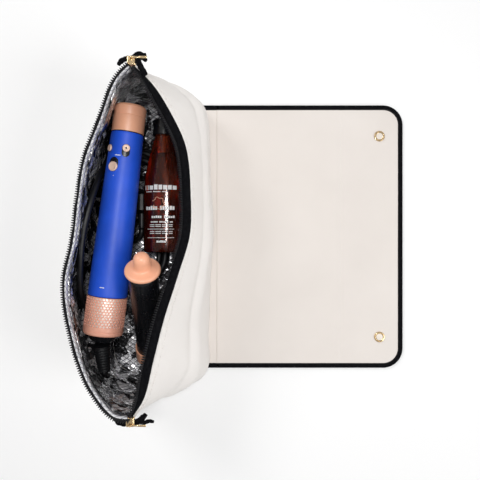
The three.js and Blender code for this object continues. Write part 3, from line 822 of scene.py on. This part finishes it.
def make_zip_end(look, label, x, y, out):
    middle = (x, y, 146.5)
    body = moved_box(f"slider_body_{label}", middle, (-4.5, -5, 0), (4.5, 5, 5.4), out, 0.0013, 4)
    waist = [moved_box(f"slider_arm_{label}_{k}", middle, (a, -4.4, 5.2), (a + 1.3, 4.4, 6.2), out)
             for k, a in enumerate((-3.2, 1.9))]
    rings = []
    for k in range(17):
        angle = math.pi * k / 16
        centre = Vector((x, y + out * 2.8, 150.5)) * MM
        spine = Vector((0, math.cos(angle) * 0.0016, math.sin(angle) * 0.0043))
        rise = spine.normalized()
        rings.append([centre + spine + (Vector((1, 0, 0)) * math.cos(q) + rise * math.sin(q)) * 0.0008
                      for q in round_points(10)])
    loop = tube(f"slider_loop_{label}", rings)
    slider = joined(f"slider_{label}", [body, *waist, loop])
    finish_piece(slider, "pouch", "gold_metal", look["gold"], f"zip_slider_{label}")
    arm = moved_box(f"pull_arm_{label}", middle, (-0.6, 1.9, 6.0), (9, 3.7, 7.2), out, 0.0005)
    tab = moved_box(f"pull_tab_{label}", middle, (8.4, 1.6, 5.9), (17, 4, 7.4), out, 0.0007, 4)
    pull = joined(f"pull_{label}", [arm, tab])
    finish_piece(pull, f"zip_pull_{label}", "gold_metal", look["gold"], f"zip_pull_{label}")
    tail = joined(f"tape_tail_{label}", [folded_band(f"tail_{label}_{k}", path, reach)
                                         for k, (path, reach) in enumerate(TAILS[label])])
    finish_piece(tail, "pouch", "zip_tape", look["tape"], f"zip_tail_{label}")


# ---------------------------------------------------------------- mat flap
# The mat's reach, the radius of its outer corners and the line it folds on, in metres.
FLAP_X = (0.0762, 0.322)
FLAP_Y = (-0.169, 0.178)
CORNER = 0.026
FOLD_X = 0.240
# Where its sewn end begins, inside the pouch's foot, and where it passes into the mat.
ROOT_X = (0.056, 0.079)


def flap_edge(x, inset):
    """The lowest and highest Y of the mat at x, with its round outer corners."""
    over = x - (FLAP_X[1] - CORNER)
    cut = CORNER - math.sqrt(max(CORNER ** 2 - over ** 2, 0)) if over > 0 else 0
    return FLAP_Y[0] + cut + inset, FLAP_Y[1] - cut - inset


def flap_fabric():
    """The cream mat as one closed cloth, soft on top, flat underneath."""
    columns, rows = 190, 220
    top, bottom = [], []
    inset = 0.0032
    end = FLAP_X[1] - inset
    for column in range(columns + 1):
        x = FLAP_X[0] + (end - FLAP_X[0]) * column / columns
        low, high = flap_edge(min(x, end), inset)
        for row in range(rows + 1):
            y = low + (high - low) * row / rows
            edge = min(y - low, high - y, end - x)
            pad = 0.00035 * (1 - math.exp(-edge / 0.004))
            dent = 0.0005 * noise.noise(Vector((x * 14, y * 14, 2.0)))
            dent += 0.0002 * noise.noise(Vector((x * 45, y * 45, 6.0)))
            ridge = -0.0005 * bell(x - FOLD_X, 0.0022)
            top.append((x, y, 0.0028 + pad + (dent + ridge) * min(1, edge / 0.008)))
            bottom.append((x, y, 0.0001))
    return two_sided("mat_fabric", top, bottom, rows + 1)


def straight_run(start, end, into, steps=70):
    """Points from start to end in the ground plane, each with the same inward direction."""
    first, last = Vector((*start, 0)), Vector((*end, 0))
    return [(first.lerp(last, k / steps), Vector((*into, 0))) for k in range(steps + 1)]


def corner_run(x, y, turn, steps=16):
    """A quarter round a corner's centre, each point with its inward direction."""
    out = []
    for k in range(steps + 1):
        angle = turn + math.pi / 2 * k / steps
        way = Vector((math.cos(angle), math.sin(angle), 0))
        out.append((Vector((x, y, 0)) + way * CORNER, -way))
    return out


def flap_path(inset):
    """Points round the mat's three free edges, from the hinge out and back, and their inward directions."""
    x0, x1 = FLAP_X
    low, high = FLAP_Y
    inner = x1 - CORNER
    out = straight_run((x0, low), (inner, low), (0, 1))
    out += corner_run(inner, low + CORNER, -math.pi / 2)[1:]
    out += straight_run((x1, low + CORNER), (x1, high - CORNER), (-1, 0))[1:-1]
    out += corner_run(inner, high - CORNER, 0)
    out += straight_run((inner, high), (x0, high), (0, -1))[1:]
    return [point + into * inset for point, into in out], [into for _, into in out]


# The binding's cross-section in millimetres: in from the mat's edge, and up.
BINDING = [(0.7, 0.05), (0.15, 0.7), (0, 1.8), (0.2, 2.9), (0.9, 3.55), (2.2, 3.8), (4.4, 3.8), (5.9, 3.6),
           (6.45, 3.15), (6.5, 2.5), (6.5, 0.4), (6.0, 0.05)]


def flap_binding():
    edge, ways = flap_path(0)
    rows = []
    for k, (point, into) in enumerate(zip(edge, ways)):
        pucker = 1 + 0.04 * math.sin(k * 1.9) + 0.05 * noise.noise(point * 60)
        rows.append([point + into * (a * MM) + UP * (z * MM * (pucker if 1 < z < 3.5 else 1))
                     for a, z in BINDING])
    return tube("mat_binding", rows)


def mat_root():
    """The mat's sewn end, which runs in under the back of the pouch."""
    rows, columns = 120, 16
    foot = [wall_point(BACK, k / 300, 0) for k in range(301)]
    top, bottom = [], []
    for row in range(rows + 1):
        y = FLAP_Y[0] + 0.003 + (FLAP_Y[1] - FLAP_Y[0] - 0.006) * row / rows
        near = min(foot, key=lambda p: abs(p.y - y))
        left = max(ROOT_X[0], near.x - 0.003)
        for column in range(columns + 1):
            x = left + (ROOT_X[1] - left) * column / columns
            top.append((x, y, 0.0027))
            bottom.append((x, y, 0.0002))
    return outward(two_sided("mat_root_strip", top, bottom, columns + 1, flip=True))


def root_binding():
    """The binding's two short runs along the sewn end."""
    runs = []
    start, end = ROOT_X
    for label, y, into in (("low", FLAP_Y[0], 1), ("high", FLAP_Y[1], -1)):
        rows = [[Vector((start + (end - start) * k / 24, y + into * a * MM, z * MM)) for a, z in BINDING]
                for k in range(25)]
        runs.append(outward(tube(f"root_run_{label}", rows)))
    return joined("root_binding_runs", runs)


def make_flap(look):
    fabric = finish_piece(flap_fabric(), None, "cream_fabric", look["cream"], "flap_lower", "flap_upper")
    binding = finish_piece(flap_binding(), None, "black_binding", look["binding"], "binding_bottom",
                           "binding_top", "binding_end")
    line, _ = flap_path(0.0056)
    row = stitches("binding_stitches", [p + UP * 0.00372 for p in line], [UP] * len(line), pitch=0.0034)
    finish_piece(row, None, "black_binding", look["rubber"])
    for piece in (fabric, binding, row):
        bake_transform(piece)
    root = finish_piece(mat_root(), None, "cream_fabric", look["cream"], "flap_root")
    edges = finish_piece(root_binding(), None, "black_binding", look["binding"])
    for piece in (root, edges):
        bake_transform(piece)
    snaps = []
    for label, y in (("top", 0.137), ("bottom", -0.128)):
        place = Matrix.Translation((0.291, y, 0.0031))
        cap = lathe(f"snap_{label}", [[0, 0], [6.6, 0], [7, 0.4], [7, 1.1], [6.3, 1.8], [5.4, 1.9],
                                      [4.9, 1.3], [4.3, 0.9], [0, 0.9]], place, 48, 0.0002)
        finish_piece(cap, "flap_upper", "gold_metal", look["gold"], f"snap_cap_{label}")
        heart = lathe(f"snap_heart_{label}", [[0, 0.7], [4.3, 0.7], [4.3, 1.05], [2.6, 1.35], [0, 1.4]],
                      place, 40)
        finish_piece(heart, "flap_upper", "gold_metal", look["pale"])
        snaps += [cap, heart]


# ---------------------------------------------------------------- hot-air styler
def frame_of(origin, x_way, y_way):
    """A placement from an origin in millimetres and the world directions of local X and Y."""
    x, y = Vector(x_way).normalized(), Vector(y_way).normalized()
    z = x.cross(y)
    matrix = Matrix((x, y, z)).transposed().to_4x4()
    matrix.translation = Vector(origin) * MM
    return matrix


STYLER = frame_of((-51.8, -108.6, 88), (0, 0, 1), (0.9924, -0.1227, 0))
RELIEF_WAY = Vector((0.03, -0.94, -0.26)).normalized()
RELIEF_TIP = Vector((-52.3, -152.7, 79.2)) * MM


# Where the side button sits: degrees round the handle, and millimetres along it.
SIDE_BUTTON = (-51, 213)


def shell_radius(z):
    """The handle's radius in millimetres at a distance along it: a taper, a little full in the middle."""
    share = min(max((z - 44.3) / 189, 0), 1)
    return 22.4 - 4 * share + 0.35 * math.sin(math.pi * share)


def on_shell(angle, along):
    """A placement on the handle's skin: local Z points outward, local X along the handle towards its head."""
    a = math.radians(angle)
    out = Vector((math.cos(a), math.sin(a), 0))
    side = Vector((math.sin(a), -math.cos(a), 0))
    matrix = Matrix((UP, side, out)).transposed().to_4x4()
    matrix.translation = (out * shell_radius(along) + UP * along) * MM
    return STYLER @ matrix


def perforated_cage():
    """The filter cage's wall: staggered round holes through a thin shell, above a plain rim."""
    around, rows = 38, 11
    radius, low, high = 22.9, 10.2, 43.6
    index, verts, faces = {}, [], []

    def point(key, turn, z):
        if key not in index:
            index[key] = len(verts)
            verts.append(STYLER @ (polar(radius, 2 * math.pi * turn / around, z) * MM))
        return index[key]

    step = (high - low) / rows
    half_wide, half_tall = 0.41, 0.43 * step
    for row in range(rows):
        shift = row % 2
        z = low + row * step
        for column in range(around):
            left = 2 * column + shift
            edge = []
            for right, up in ((0, 0), (1, 0), (2, 0), (2, 1), (2, 2), (1, 2), (0, 2), (0, 1)):
                u, v = left + right, 2 * row + up
                edge.append(point((u % (2 * around), v), u / 2, z + up * step / 2))
            ring = []
            for k in range(8):
                angle = -math.pi * 0.75 + math.pi / 4 * k
                ring.append(point(("hole", row, column, k), left / 2 + 0.5 + half_wide * math.cos(angle),
                                  z + step / 2 + half_tall * math.sin(angle)))
            for k in range(8):
                n = (k + 1) % 8
                faces.append((edge[k], edge[n], ring[n], ring[k]))
    wall = add_mesh("cage_wall_skin", verts, faces)
    modify(wall, "SOLIDIFY", thickness=0.0011, offset=-1)
    bevel(wall, 0.00018, 1)
    return wall


def make_cage(look):
    wall = perforated_cage()
    rim = lathe("cage_rim_skin", [[13, 0], [20.4, 0], [22, 0.8], [22.7, 2.2], [22.9, 4.6], [22.55, 4.9],
                                  [22.55, 5.2], [22.9, 5.5], [22.9, 10.4], [21.5, 10.4], [21.2, 3.5],
                                  [13, 2]], STYLER, 96, 0.0003)
    band = lathe("cage_band_skin", [[21.6, 43.4], [22.9, 43.4], [22.95, 43.7], [22.9, 44.1], [21.6, 44.1]],
                 STYLER, 96, 0.0001)
    cage = joined("cage", [wall, rim, band])
    finish_piece(cage, "filter_cage", "copper", look["copper"], "filter_cage")
    screen = lathe("cage_screen", [[20.9, 6], [21.4, 6], [21.4, 43.5], [20.9, 43.5]], STYLER, 96)
    finish_piece(screen, "filter_cage", "copper", look["screen"])
    ring = lathe("cage_end_ring", [[12.7, -6.6], [13.6, -6.6], [14.4, -5.6], [17.2, -0.6], [17.2, -0.1],
                                   [12.7, -0.1]], STYLER, 72, 0.0005)
    finish_piece(ring, "filter_cage", "black_plastic", look["plastic"], "cage_end_ring")


def make_handle(look):
    outside = [[shell_radius(z), z] for z in range(46, 232, 5)]
    shell = lathe("handle", [[20.6, 44.5], [21.8, 44.4], *outside, [18.2, 232.9], [16.6, 233.2], [16.8, 225],
                             [20.2, 60]], STYLER, 144, 0.0006)
    finish_piece(cut_pocket(shell), "styler", "blue_shell", look["blue"], "handle_shell")
    sleeve = lathe("head_ring", [[16.6, 233.9], [18.1, 233.9], [18.4, 234.4], [18.4, 252.6], [18.15, 252.9],
                                 [18.15, 253.3], [18.4, 253.6], [18.4, 262.6], [17.4, 264.6], [15.9, 265.6],
                                 [14.9, 265.5], [14.5, 264.9], [16.6, 261.2]], STYLER, 120)
    finish_piece(sleeve, "styler", "copper", look["copper_plain"], "head_sleeve")
    seam = lathe("head_seam", [[16.5, 232.9], [17.9, 232.9], [17.9, 234.2], [16.5, 234.2]], STYLER, 96)
    finish_piece(seam, "styler", "black_plastic", look["plastic"])
    foot = lathe("foot_seam_ring", [[20.4, 43.9], [21.9, 43.9], [21.9, 44.9], [20.4, 44.9]], STYLER, 96)
    finish_piece(foot, "styler", "black_plastic", look["plastic"])
    gland = lathe("gland", [[0, -9], [10, -9], [11.2, -8.4], [12.4, -6.8], [12.4, 3.9], [0, 3.9]],
                  STYLER, 72, 0.0006)
    finish_piece(gland, "styler", "black_plastic", look["plastic"], "cable_gland")


def stadium(half, radius, steps=14):
    """Points round a slot's outline in its own plane, in millimetres."""
    out = []
    for centre, start in ((half, -90), (-half, 90)):
        for k in range(steps + 1):
            angle = math.radians(start + 180 * k / steps)
            out.append((centre + radius * math.cos(angle), radius * math.sin(angle)))
    return out


def skin_plate(name, angle, along, half, radius, low, high, shift=0.0, across=False):
    """A slot-shaped plate that follows the handle's round skin."""
    outline = [(y, -x) if across else (x, y) for x, y in stadium(half, radius)]
    rings = []
    for height, scale in ((low, 1), (high * 0.6, 1), (high, 0.93)):
        ring = []
        for x, y in outline:
            here = along + shift + x * scale
            turn = angle + math.degrees(y * scale / shell_radius(here))
            ring.append(on_shell(turn, here) @ (UP * height * MM))
        rings.append(ring)
    verts, faces = tube_mesh(rings, cap=False)
    centre = len(verts)
    verts += [on_shell(angle, along + shift) @ (UP * level * MM) for level in (high, low)]
    last = (len(rings) - 1) * len(outline)
    for k in range(len(outline)):
        n = (k + 1) % len(outline)
        faces.append((last + k, last + n, centre))
        faces.append((n, k, centre + 1))
    return outward(add_mesh(name, verts, faces))


def cut_pocket(piece):
    """Opens the recess in which the side button moves."""
    place = on_shell(*SIDE_BUTTON)
    pocket = outward(lathe("pocket", [[0, -1.75], [3.95, -1.75], [3.95, 3], [0, 3]], place, 56))
    modify(piece, "BOOLEAN", object=pocket, solver="EXACT")
    graph = bpy.context.evaluated_depsgraph_get()
    cut = bpy.data.meshes.new_from_object(piece.evaluated_get(graph), depsgraph=graph)
    piece.modifiers.clear()
    piece.data = cut
    bpy.data.objects.remove(pocket)
    return piece


def make_switches(look):
    for name, node, angle, along, radius, toward, travel in (
            ("power", "power_slider", 15, 214, 4.2, -1, 5.5),
            ("temperature", "temperature_slider", -22.5, 192, 5.5, 1, 5),
            ("cool_shot", "cool_shot_button", *SIDE_BUTTON, 3.8, 0, 0)):
        half = travel / 2
        margin, low, foot = (0.3, -0.6, -1.2) if travel else (0.6, -1.6, -0.3)
        track = skin_plate(f"{name}_track", angle, along, half, radius + margin, low, 0.16, toward * half)
        if not travel:
            cut_pocket(track)
        finish_piece(track, "styler", "black_plastic", look["plastic"])
        place = on_shell(angle, along)
        knob = lathe(f"{name}_knob", [[0, foot], [radius, foot], [radius, 1], [radius - 0.5, 1.5],
                                      [radius - 1.3, 1.55], [radius - 1.8, 1.25], [0, 1.05]],
                     place, 56, 0.0003)
        finish_piece(knob, node, "copper", look["knob"], node)
        if name == "power":
            mark = lathe("power_dot", [[0, 0.9], [radius * 0.3, 0.9], [radius * 0.3, 1.22], [0, 1.25]],
                         place, 24, 0.0001)
            finish_piece(mark, node, "black_plastic", look["plastic"])
    marks = [(-5.4, 55.5, 2.3), (-16.3, 181.7, 0)]
    marks += [(-19 + 3.2 * k, 205 + 0.3 * (k % 2), 0.35) for k in range(6)]
    ticks = [skin_plate(f"tick_{k}", angle, along, half, 0.45, -0.1, 0.1, across=True)
             for k, (angle, along, half) in enumerate(marks)]
    icons = joined("handle_icons", ticks)
    finish_piece(icons, "styler", "blue_shell", look["label"])


def make_relief(look):
    matrix = (-RELIEF_WAY).to_track_quat("Z", "X").to_matrix().to_4x4()
    matrix.translation = RELIEF_TIP
    length, rings = 33.0, 9
    pitch = length / (rings + 0.4)
    profile = [[0, 0], [3.9, 0], [5.6, 0.6]]
    for k in range(rings):
        z = k * pitch
        radius = 7.2 + 0.34 * k
        profile += [[radius, z + 0.7], [radius, z + pitch * 0.62], [radius - 0.9, z + pitch * 0.78],
                    [radius - 0.9, z + pitch]]
    profile += [[10.0, length - 0.6], [9.6, length], [0, length]]
    relief = lathe("strain_relief_ribs", profile, matrix, 56, 0.0003)
    finish_piece(relief, "styler", "black_rubber", look["rubber"], "strain_relief")


# ---------------------------------------------------------------- attachments and bottle
BARREL = frame_of((4, -32.3, 140), (0.9979, -0.0645, 0), (0.0423, 0.6547, -0.7547))
SPARE = frame_of((37, -30, 23.5), (1, 0, 0), (0, 0, -1))
BOTTLE = frame_of((15, -12, 61), (-1, 0, 0), (0, 0, 1))


def slotted_barrel(name, matrix, profile, slots, low, high):
    """A black barrel with shallow lengthwise air slots between two heights."""
    segments = slots * 24
    rows = []
    for (r0, z0), (r1, z1) in zip(profile, profile[1:] + profile[:1]):
        outer = abs(z1 - z0) > 60 and min(r0, r1) > 15.5
        parts = 40 if outer else 1
        for t in (k / parts for k in range(parts)):
            r, z = r0 + (r1 - r0) * t, z0 + (z1 - z0) * t
            depth = 0.9 * min(1, (z - low) / 3, (high - z) / 3) if outer and low < z < high else 0
            row = []
            for k, angle in enumerate(round_points(segments)):
                radius = r - depth * bell((k % 24) / 24 - 0.5, 0.06)
                row.append(matrix @ (polar(radius, angle, z) * MM))
            rows.append(row)
    verts, faces = tube_mesh(rows, cap=False)
    last = (len(rows) - 1) * segments
    for k in range(segments):
        n = (k + 1) % segments
        faces.append((last + k, last + n, n, k))
    return outward(add_mesh(name, verts, faces))


def make_attachments(look):
    barrel = slotted_barrel("curl_barrel", BARREL, [(14, -148), (16, -148), (16, -5), (15.2, -4), (2, -4),
                                                    (2, -6), (14, -6)], 6, -122, -9)
    finish_piece(barrel, "curling_barrel", "black_plastic", look["plastic"], "barrel_tube")
    collar = lathe("curl_collar", [[16.3, -148], [18, -148], [18, -128], [16.3, -128]], BARREL, 96)
    finish_piece(collar, "curling_barrel", "copper", look["copper_plain"], "barrel_collar")
    tip = lathe("curl_tip", [[0, -3.7], [15.2, -3.7], [18.4, -1.6], [19.2, -0.4], [19.2, 1.2], [18.6, 2.4],
                             [17.2, 3.2], [13, 3.8], [10.2, 4.6], [9.1, 6.2], [8.9, 10], [8.9, 15],
                             [8.5, 17.6], [7.4, 20.2], [5.6, 22.1], [3.2, 23.1], [0, 23.4]],
                BARREL, 96, 0.0008)
    finish_piece(tip, "curling_barrel", "copper", look["copper_plain"], "cool_tip")
    spare = slotted_barrel("short_barrel", SPARE, [(14.5, 3), (14.5, 127.7), (16.5, 127.7), (16.5, 2.2),
                                                   (15.8, 0.6), (14.4, 0), (2, 0), (2, 3)], 6, 10, 120)
    finish_piece(spare, "spare_attachment", "black_plastic", look["plastic"], "spare_barrel")
    ring = lathe("short_collar", [[14.5, 128], [16.5, 128], [16.5, 149], [14.5, 149]], SPARE, 96)
    finish_piece(ring, "spare_attachment", "copper", look["copper_plain"], "spare_collar")


BOTTLE_POWER = 2.1


def oval_loft(name, rings, segments=96):
    """A solid through level ovals (z, half width, half depth) in millimetres, squarer than ellipses."""
    rows = []
    for z, rx, ry in rings:
        row = []
        for angle in round_points(segments):
            c, s = math.cos(angle), math.sin(angle)
            x = math.copysign(abs(c) ** (2 / BOTTLE_POWER), c) * rx
            y = math.copysign(abs(s) ** (2 / BOTTLE_POWER), s) * ry
            row.append(BOTTLE @ (Vector((x, y, z)) * MM))
        rows.append(row)
    return outward(tube(name, rows))


def smooth_rings(rings, parts=5):
    """More rings between the given ones, on a smooth curve through them."""
    out = []
    for k in range((len(rings) - 1) * parts + 1):
        place = k / parts
        i = min(int(place), len(rings) - 2)
        t = place - i
        p = [Vector(rings[min(max(j, 0), len(rings) - 1)]) for j in (i - 1, i, i + 1, i + 2)]
        out.append(tuple((p[1] * 2 + (p[2] - p[0]) * t + (p[0] * 2 - p[1] * 5 + p[2] * 4 - p[3]) * t * t
                          + (p[1] * 3 - p[0] - p[2] * 3 + p[3]) * t ** 3) / 2))
    return out


BOTTLE_RINGS = smooth_rings([
    (-3, 20, 12), (-2.2, 22.6, 14.6), (0, 24, 16), (20, 24.3, 16.15), (62, 24.5, 16.2), (84, 23, 15.6),
    (99, 20.4, 14.5), (114, 17, 13.1), (129, 12.8, 11.3), (134, 10.9, 10.5), (137, 10.2, 10), (141, 10, 10)])


def face_height(x, z):
    """How high the bottle's face stands above its middle, a hair above the plastic."""
    low, high = next(pair for pair in zip(BOTTLE_RINGS, BOTTLE_RINGS[1:]) if pair[1][0] >= z)
    t = (z - low[0]) / (high[0] - low[0])
    half, deep = (low[k] + (high[k] - low[k]) * t for k in (1, 2))
    return (deep + 0.06) * (1 - min(abs(x) / half, 1) ** BOTTLE_POWER) ** (1 / BOTTLE_POWER)


def label_blocks(rows):
    """Small raised blocks in place of print, from rows of (z, first x, letter width, height, count)."""
    verts, faces = [], []
    for z, x, width, height, count in rows:
        for k in range(count):
            if k % 7 == 5:
                continue
            left = x - k * width * 1.25
            tall = height * (0.8 + 0.2 * ((k * 3 + 1) % 4) / 3)
            start = len(verts)
            for level in (0.0, 0.0002):
                for dx, dz in ((0, 0), (-width, 0), (-width, tall), (0, tall)):
                    px, pz = left + dx, z + dz
                    face = Vector((px, face_height(px, pz), pz)) * MM
                    verts.append(BOTTLE @ (face + Vector((0, level, 0))))
            faces += [tuple(start + i for i in side) for side in (
                (0, 1, 2, 3), (7, 6, 5, 4), (0, 4, 5, 1), (1, 5, 6, 2), (2, 6, 7, 3), (3, 7, 4, 0))]
    return outward(add_mesh("label_print", verts, faces, smooth=False))


def make_bottle(look):
    shell = oval_loft("bottle_shell", BOTTLE_RINGS)
    finish_piece(shell, "bottle", "amber_bottle", look["amber"], "bottle_body")
    contents = smooth_rings([(0, 20, 12), (2, 22, 14.2), (30, 22.7, 14.6), (62, 22.8, 14.6), (84, 21.3, 14),
                             (99, 18.7, 12.9), (112, 15.6, 11.4), (116, 13, 9)])
    inside = oval_loft("bottle_contents", contents)
    finish_piece(inside, "bottle", "amber_bottle", look["liquid"])
    print_rows = [(71.6, 20.6, 4.4, 6.0, 5), (71.6, -6.9, 4.4, 6.0, 2), (68.6, 19.5, 1.2, 1.2, 17)]
    print_rows += [(47.6, 19.5, 2.3, 4.6, 12), (38, 12.5, 2.0, 2.8, 11), (32.6, 13.5, 1.4, 1.7, 15)]
    print_rows += [(z, 14.5, 0.9, 1.0, 24) for z in (29.6, 27.6, 21.6, 19.4)]
    print_rows += [(z, x, 1.27, 0.7, 5) for x in (17.5, 9.6, 1.7, -6.2) for z in (24.6, 14.4)]
    print_rows += [(9, 6.5, 1.8, 2.6, 5)]
    finish_piece(label_blocks(print_rows), "bottle", "amber_bottle", look["label"])
    emblem = []
    for k in range(61):
        angle = math.radians(20 + 320 * k / 60)
        petal = 6.6 * (1 + 0.12 * math.sin(6 * angle))
        x, z = 4.4 + petal * math.cos(angle), 55.5 + petal * math.sin(angle)
        emblem.append(BOTTLE @ (Vector((x, face_height(x, z) + 0.2, z)) * MM))
    finish_piece(piping("label_emblem", emblem, 0.0004, 6), "bottle", "amber_bottle", look["copper_plain"])
    collar = lathe("pump_neck", [[10.4, 138], [13.1, 138], [13.4, 138.4], [13.4, 155], [12.6, 156],
                                 [4.6, 156], [4.6, 152], [10.4, 152]], BOTTLE, 72)
    finish_piece(collar, "bottle", "black_plastic", look["plastic"], "pump_collar")
    head = lathe("pump_head", [[0, 148], [4.2, 148], [4.2, 162], [7.5, 163], [7.5, 168], [6, 169.4],
                               [0, 169.4]], BOTTLE, 56, 0.0006)
    finish_piece(head, "pump_actuator", "black_plastic", look["plastic"], "pump_actuator")


# ---------------------------------------------------------------- cord
# In millimetres: the lead from the strain relief to the hank, then the hank's middle, run length and layers.
LEAD = [(-52, -162, 65), (-54, -160, 55), (-60, -148, 47), (-68, -128, 46), (-74, -96, 58), (-77, -60, 88),
        (-73, -24, 104), (-68, 12, 108), (-61, 44, 104), (-56, 72, 88), (-54, 92, 64), (-50, 107, 48),
        (-41, 108, 40), (-30, 103, 36.2)]
HANK = (-19, 32)
RUN = 105
LAYER = (12.45, 20.05, 27.65)
# The cord's radius in metres.
CORD_RADIUS = 0.00375


def hank_turn(radius_in, radius_out, z_in, z_out):
    """One clockwise turn from the middle of the right run round to it again."""
    cx, cy = HANK
    out = [(cx + radius_in, cy, z_in), (cx + radius_in, cy - RUN * 0.3, z_in)]
    for k in range(13):
        angle = -math.pi * k / 12
        out.append((cx + radius_in * math.cos(angle), cy - RUN / 2 + radius_in * math.sin(angle), z_in))
    out += [(cx - radius_in, cy - RUN * 0.25, z_in), (cx - radius_in, cy + RUN * 0.25, z_in)]
    for t in (k / 12 for k in range(13)):
        angle = math.pi - math.pi * t
        radius, z = radius_in + (radius_out - radius_in) * t, z_in + (z_out - z_in) * t
        out.append((cx + radius * math.cos(angle), cy + RUN / 2 + radius * math.sin(angle), z))
    out.append((cx + radius_out, cy + RUN * 0.3, z_out))
    return out


def cord_path():
    tip, way = RELIEF_TIP / MM, RELIEF_WAY
    points = [tuple(tip + way * 0.3), tuple(tip + way * 5), *LEAD]
    points += [(-13, 100, 36), (1, 92, 35.6), (9.5, 79, 32.6), (11.6, 62, 28.8)]
    points += hank_turn(30.6, 23, LAYER[2], LAYER[2])
    points += hank_turn(23, 23, LAYER[2], LAYER[1])
    points += hank_turn(23, 30.6, LAYER[1], LAYER[1])
    points += hank_turn(30.6, 30.6, LAYER[1], LAYER[0])
    points += hank_turn(30.6, 23, LAYER[0], LAYER[0])
    points += hank_turn(23, 23, LAYER[0], LAYER[0])[:15]
    points += [(-40, -10, 13.2), (-33, -2, 15.5), (-25, 1, 18.5), (-20, 7, 21.2), (-19, 15.7, 21.9)]
    points = [Vector(p) for p in points]
    curve, count = [], len(points) - 1
    for k in range(count):
        parts = max(2, int((points[k + 1] - points[k]).length / 3.2))
        for step in range(parts):
            curve.append(curve_point(points, k, step / parts))
    curve.append(points[-1])
    return [p * MM for p in curve]


def make_cord(look):
    path = cord_path()
    cable = piping("cord_tube", path, CORD_RADIUS, 14)
    finish_piece(cable, None, "black_rubber", look["cord"], "cord_lead", "cord_hank")
    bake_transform(cable)


def dress_hard_parts(look):
    """The CAD parts that stay as they are only take their finish."""
    plain = {"cord_tie": "binding", "plug": "rubber", "snap_socket_top": "gold",
             "snap_socket_bottom": "gold", "base_board": "stiffener", "inner_filter": "foam",
             "motor_mount": "plastic", "motor_housing": "steel", "impeller": "steel", "stator": "steel",
             "circuit_board": "board", "heater_core": "steel", "outlet_grille": "plastic", "dip_tube": "tube"}
    for name, finish in plain.items():
        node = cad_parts[name]
        if node.data.materials:
            node.data.materials[0] = look[finish]
        else:
            node.data.materials.append(look[finish])


def main():
    make_camera()
    look = make_materials()
    make_cord(look)
    make_floor()
    make_light()
    make_pouch(look)
    make_zip(look)
    make_zip_end(look, "top", -6, 186, 1)
    make_zip_end(look, "bottom", -7, -189, -1)
    make_flap(look)
    make_cage(look)
    make_handle(look)
    make_switches(look)
    make_relief(look)
    make_attachments(look)
    make_bottle(look)
    dress_hard_parts(look)


main()
